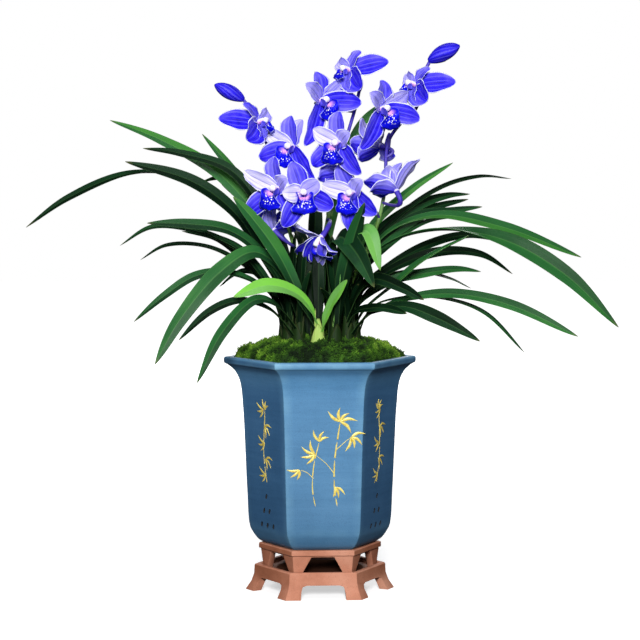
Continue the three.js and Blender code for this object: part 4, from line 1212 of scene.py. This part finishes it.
def capsule(width, length, steps=6):
    """Corners of a rounded slit, long side upright."""
    r, straight = width / 2, length / 2 - width / 2
    corners = []
    for end, start in ((1, 0), (-1, math.pi)):
        for i in range(steps + 1):
            a = math.pi * i / steps + start
            corners.append([r * math.cos(a), end * straight + r * math.sin(a)])
    return np.array(corners)


def cutter(outline, face, across, height):
    """A straight, tilted cutter along a face's normal."""
    spin = math.radians(SLIT["tilt"])
    turned = outline @ np.array([[math.cos(spin), math.sin(spin)], [-math.sin(spin), math.cos(spin)]])
    out, side = polar(1, face), polar(1, face + 90)
    return np.array([[out * depth + side * (across + u) + np.array([0, 0, height + v]) for u, v in turned]
                     for depth in CUTTER_REACH])


def pot_cutters():
    slit = capsule(SLIT["width"], SLIT["length"])
    cutters = []
    for face in SLIT_FACES:
        for row in range(SLIT_ROWS):
            for i in range(row + 1):
                across = (i - row / 2) * SLIT["pitch"] * (1 + row * 0.1)
                height = SLIT["lowest"] + (SLIT_ROWS - 1 - row) * SLIT["row"]
                cutters.append(cutter(slit, face, across, height))
    a = full_turn(40)
    x, y = DRAIN_RADIUS * np.cos(a), DRAIN_RADIUS * np.sin(a)
    cutters.append(np.array([grid(x, y, z) for z in DRAIN_LEVELS]))
    return cutters


def cut(piece, cutters):
    tool = Build()
    for rings in cutters:
        tool.tube(rings, (0.0, 0.0))
    # The cut walls take the nearly black painted shade of the slits.
    tool = tool.make("cutter", [SLIT_SHADE])
    modifier = piece.modifiers.new("cut", "BOOLEAN")
    modifier.object = tool
    modifier.solver = "EXACT"
    modifier.material_mode = "TRANSFER"
    graph = bpy.context.evaluated_depsgraph_get()
    mesh = bpy.data.meshes.new_from_object(
        piece.evaluated_get(graph), preserve_all_data_layers=True, depsgraph=graph)
    piece.modifiers.clear()
    piece.data = mesh
    bpy.data.objects.remove(tool)


lower = spline([[r, h, 0] for r, h in POT_LOWER], 12).dense[:, :2]
build = Build()
hex_body(build, [*lower.tolist(), *POT_LIP, *POT_INNER])
pot = build.make("pot_dressed", [GLAZE, GOLD])
cut(pot, pot_cutters())
pot.data.set_sharp_from_angle(angle=math.radians(38))

# Ornament: bamboo sprays in gold, a common motif, laid on the faces of the pot. Points are [across, height].

FRONT_FACE = -90
CULMS = (
    ([[14, 78], [10, 102], [10, 128], [15, 164]], 1.7),
    ([[-6, 80], [-10, 100], [-9, 124], [-4, 146]], 1.3))
TWIGS = (
    [[10, 116], [2, 126], [-8, 134]],
    [[11, 138], [20, 146], [25, 150]],
    [[-9, 112], [-16, 118], [-22, 120]])
THIN = 0.8
# Tufts: place, headings of the leaves, their length and width
TUFTS = (
    ([15, 164], [150, 105, 60, 20, -30], 16, 3.2), ([25, 150], [30, -20, -60, -100], 14, 2.9),
    ([-8, 134], [160, 200, 240, 120], 15, 3.0), ([-4, 146], [130, 80, 40], 13, 2.7),
    ([-22, 120], [190, 230, 270], 12, 2.7), ([10, 104], [-20, -55, -85], 12, 2.6))
# Faces beside the front one, with the side to which their culm leans, and the headings of the tufts by height
SIDE_FACES = ((-150, 1), (-30, -1))
LEFT_FAN, RIGHT_FAN = [160, 200, 240], [20, -20, -60]
SIDE_TUFTS = ((112, LEFT_FAN), (126, RIGHT_FAN), (141, LEFT_FAN), (156, RIGHT_FAN), (172, LEFT_FAN))


def face_radius(z):
    r = np.interp(z, [h for _, h in POT_LOWER], [r for r, _ in POT_LOWER])
    return r * math.cos(math.pi / 6)


def stroke(build, face, points, width, is_leaf=False):
    """A raised stroke on a face."""
    path = spline([[u, z, 0] for u, z in points], 14)
    t = np.linspace(0, 0.999, 22)
    if is_leaf:
        half = width / 2 * np.maximum(np.sin(np.pi * (0.05 + 0.95 * t) ** 0.8), 0.03)
    else:
        half = width / 2 * (1 - 0.35 * t) * np.maximum(1 - t**12, 0.1)
    centre, along = path.at(t)[:, :2], path.along(t)[:, :2]
    side = np.stack([-along[:, 1], along[:, 0]], -1)
    out, right = polar(1, face), polar(1, face + 90)
    rings = []
    for s, lift in ((-1, -0.3), (-0.86, 0.12), (0, 0.2), (0.86, 0.12), (1, -0.3)):
        flat = centre + side * column_of(half * s)
        depth = column_of(face_radius(flat[:, 1]) + lift)
        rings.append(out * depth + right * flat[:, :1] + np.array([0, 0, 1]) * flat[:, 1:])
    rings = np.stack(rings, 1)
    build.tube(rings, rings[..., ::2] / 100, look=1)


def tuft(build, face, at, headings, length, width):
    """A fan of pointed leaves that hangs from a joint."""
    u, z = at
    for k, heading in enumerate(headings):
        reach = length * (1 - 0.12 * (k % 3))
        a, bend = math.radians(heading), math.radians(heading - 14)
        middle = [u + 0.5 * reach * math.cos(a), z + 0.5 * reach * math.sin(a)]
        end = [u + reach * math.cos(bend), z + reach * math.sin(bend) - 0.06 * reach]
        stroke(build, face, [[u, z], middle, end], width, is_leaf=True)


def culm(build, face, points, width):
    """A jointed cane: short strokes with gaps between them."""
    path = spline([[u, z, 0] for u, z in points], 14)
    joints = max(3, int(path.length / 15))
    for k in range(joints):
        low, high = k / joints + 0.012, (k + 1) / joints - 0.012
        cuts = [path.at(low), path.at((low + high) / 2), path.at(high)]
        stroke(build, face, [c[:2].tolist() for c in cuts], width)


ornament = Build()
for points, width in CULMS:
    culm(ornament, FRONT_FACE, points, width)
for points in TWIGS:
    stroke(ornament, FRONT_FACE, points, THIN)
for entry in TUFTS:
    tuft(ornament, FRONT_FACE, *entry)
for k in range(5):
    rise = k % 2
    ground = [[-20 + 9 * k, 76 - rise], [-14 + 9 * k, 77.5], [-9 + 9 * k, 76 + rise]]
    stroke(ornament, FRONT_FACE, ground, THIN)
for face, side in SIDE_FACES:
    culm(ornament, face, [[2 * side, 104], [-2 * side, 130], [3 * side, 172]], 1.2)
    for z, fan in SIDE_TUFTS:
        tuft(ornament, face, [0, z], fan, 13, 2.5)
    tuft(ornament, face, [3 * side, 172], [120, 85, 50], 11, 2.3)
ornament_piece = ornament.make("ornament", [GLAZE, GOLD])
bm = bmesh.new()
bm.from_mesh(pot.data)
bm.from_mesh(ornament_piece.data)
bm.to_mesh(pot.data)
bm.free()
bpy.data.objects.remove(ornament_piece)
place(pot, "pot", "blue_glaze")

# Foot ring and stand, from their own solids with softened edges


def softened(node, width):
    """A copy of a node's mesh with its edges bevelled, in clay."""
    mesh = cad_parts[node].data.copy()
    bm = bmesh.new()
    bm.from_mesh(mesh)
    bmesh.ops.remove_doubles(bm, verts=bm.verts, dist=2e-5)
    bmesh.ops.dissolve_limit(bm, angle_limit=math.radians(1.5), verts=bm.verts, edges=bm.edges)
    edges = [e for e in bm.edges if len(e.link_faces) == 2 and e.calc_face_angle(0) > math.radians(20)]
    bmesh.ops.bevel(
        bm, geom=edges, offset=width * MM, segments=3, profile=0.6, affect="EDGES", clamp_overlap=True)
    bmesh.ops.triangulate(bm, faces=[f for f in bm.faces if len(f.verts) > 4])
    for face in bm.faces:
        face.smooth = True
    bm.to_mesh(mesh)
    bm.free()
    mesh.materials.clear()
    mesh.materials.append(CLAY)
    mesh.set_sharp_from_angle(angle=math.radians(35))
    return add_object(node + "_dressed", mesh)


for node, width in (("stand", 1.5), ("foot_ring", 0.8)):
    place(softened(node, width), node, "terracotta")

for node, material in (("drainage_gravel", GRAVEL), ("bark_medium", BARK)):
    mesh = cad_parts[node].data
    mesh.materials.clear()
    mesh.materials.append(material)

# Floor, light and camera


FLOOR_LEVEL = -0.05
FLOOR_RINGS = (10.0, 6000.0)
LIGHT_TARGET = (0, 0, 0.3)


def floor_look():
    """A pale floor that glows more with distance, so that it passes into the backdrop."""
    look = Look("floor")
    distance = look.node("VectorMath", {0: look.place()}, operation="LENGTH").outputs[1]
    shade = look.ramp(look.noise(look.place(), 3, 2), [(0.3, (0.80, 0.80, 0.81)), (0.7, (0.83, 0.83, 0.83))])
    glow = look.greys(look.math("DIVIDE", distance, 1.6), (0.1, 0.51), (1.0, 1.0), smoothly=True)
    look.set(Base_Color=shade, Roughness=0.7, Specular_IOR_Level=0.1)
    look.set(Emission_Color=glow, Emission_Strength=1.1)
    return look.material


def stage_floor():
    a = full_turn(96)
    build = Build()
    rings = np.array([grid(r * np.cos(a), r * np.sin(a), FLOOR_LEVEL) for r in FLOOR_RINGS])
    inner, outer = np.arange(2 * len(a)).reshape(2, -1)
    faces = np.stack([inner, outer, np.roll(outer, -1), np.roll(inner, -1)], -1).tolist()
    build.add(rings, [*faces, inner.tolist()], (0.0, 0.0))
    piece = build.make("floor", [floor_look()])
    piece.visible_diffuse = False
    piece.visible_glossy = False


def aim(thing, spot, target):
    """Puts a light or camera at a spot, in metres, looking at the target."""
    thing.location = spot
    thing.rotation_euler = (Vector(target) - Vector(spot)).to_track_quat("-Z", "Y").to_euler()


def light(name, spot, size, power):
    lamp = bpy.data.lights.new(name, "AREA")
    lamp.shape = "DISK"
    lamp.size = size
    lamp.energy = power
    aim(add_object(name, lamp), spot, LIGHT_TARGET)


stage_floor()
light("key", (-0.2, -2.3, 1.0), 0.6, 76)
light("top", (0.0, -0.5, 2.3), 1.0, 10)
light("rear", (0.4, 2.3, 1.2), 1.4, 26)

# A white backdrop, and a weaker light from all round
BACKDROP = (1, 1, 1, 1)
AMBIENT = (0.05, 0.05, 0.055, 1)
world = bpy.data.worlds.new("studio")
bpy.context.scene.world = world
world.use_nodes = True
tree = world.node_tree
background = tree.nodes["Background"]
seen = tree.nodes.new("ShaderNodeLightPath")
shade = tree.nodes.new("ShaderNodeMix")
shade.data_type = "RGBA"
shade.inputs[6].default_value = AMBIENT
shade.inputs[7].default_value = BACKDROP
tree.links.new(seen.outputs["Is Camera Ray"], shade.inputs[0])
tree.links.new(shade.outputs[2], background.inputs[0])
background.inputs[1].default_value = 1.0

# The photograph's frame: its width in pixels, its focal length from 0.931 mm to a pixel at the distance of
# the pot, and where the camera stands and looks, in metres
PHOTO_WIDTH = 640
CAMERA_DISTANCE = 2
FOCAL_PIXELS = CAMERA_DISTANCE * 1000 / 0.931
SENSOR_WIDTH = 36
YAW = math.radians(-3.175)
CAMERA_HEIGHT = 0.3854
AIM_HEIGHT = 0.2526
camera_data = bpy.data.cameras.new("camera")
camera_data.sensor_width = SENSOR_WIDTH
camera_data.lens = FOCAL_PIXELS * SENSOR_WIDTH / PHOTO_WIDTH
camera_data.clip_end = 50
camera = add_object("camera", camera_data)
spot = (CAMERA_DISTANCE * math.sin(YAW), -CAMERA_DISTANCE * math.cos(YAW), CAMERA_HEIGHT)
aim(camera, spot, (0, 0, AIM_HEIGHT))
bpy.context.scene.camera = camera

settings = bpy.context.scene.view_settings
settings.view_transform = "Standard"
settings.look = "None"
settings.exposure = 0.0
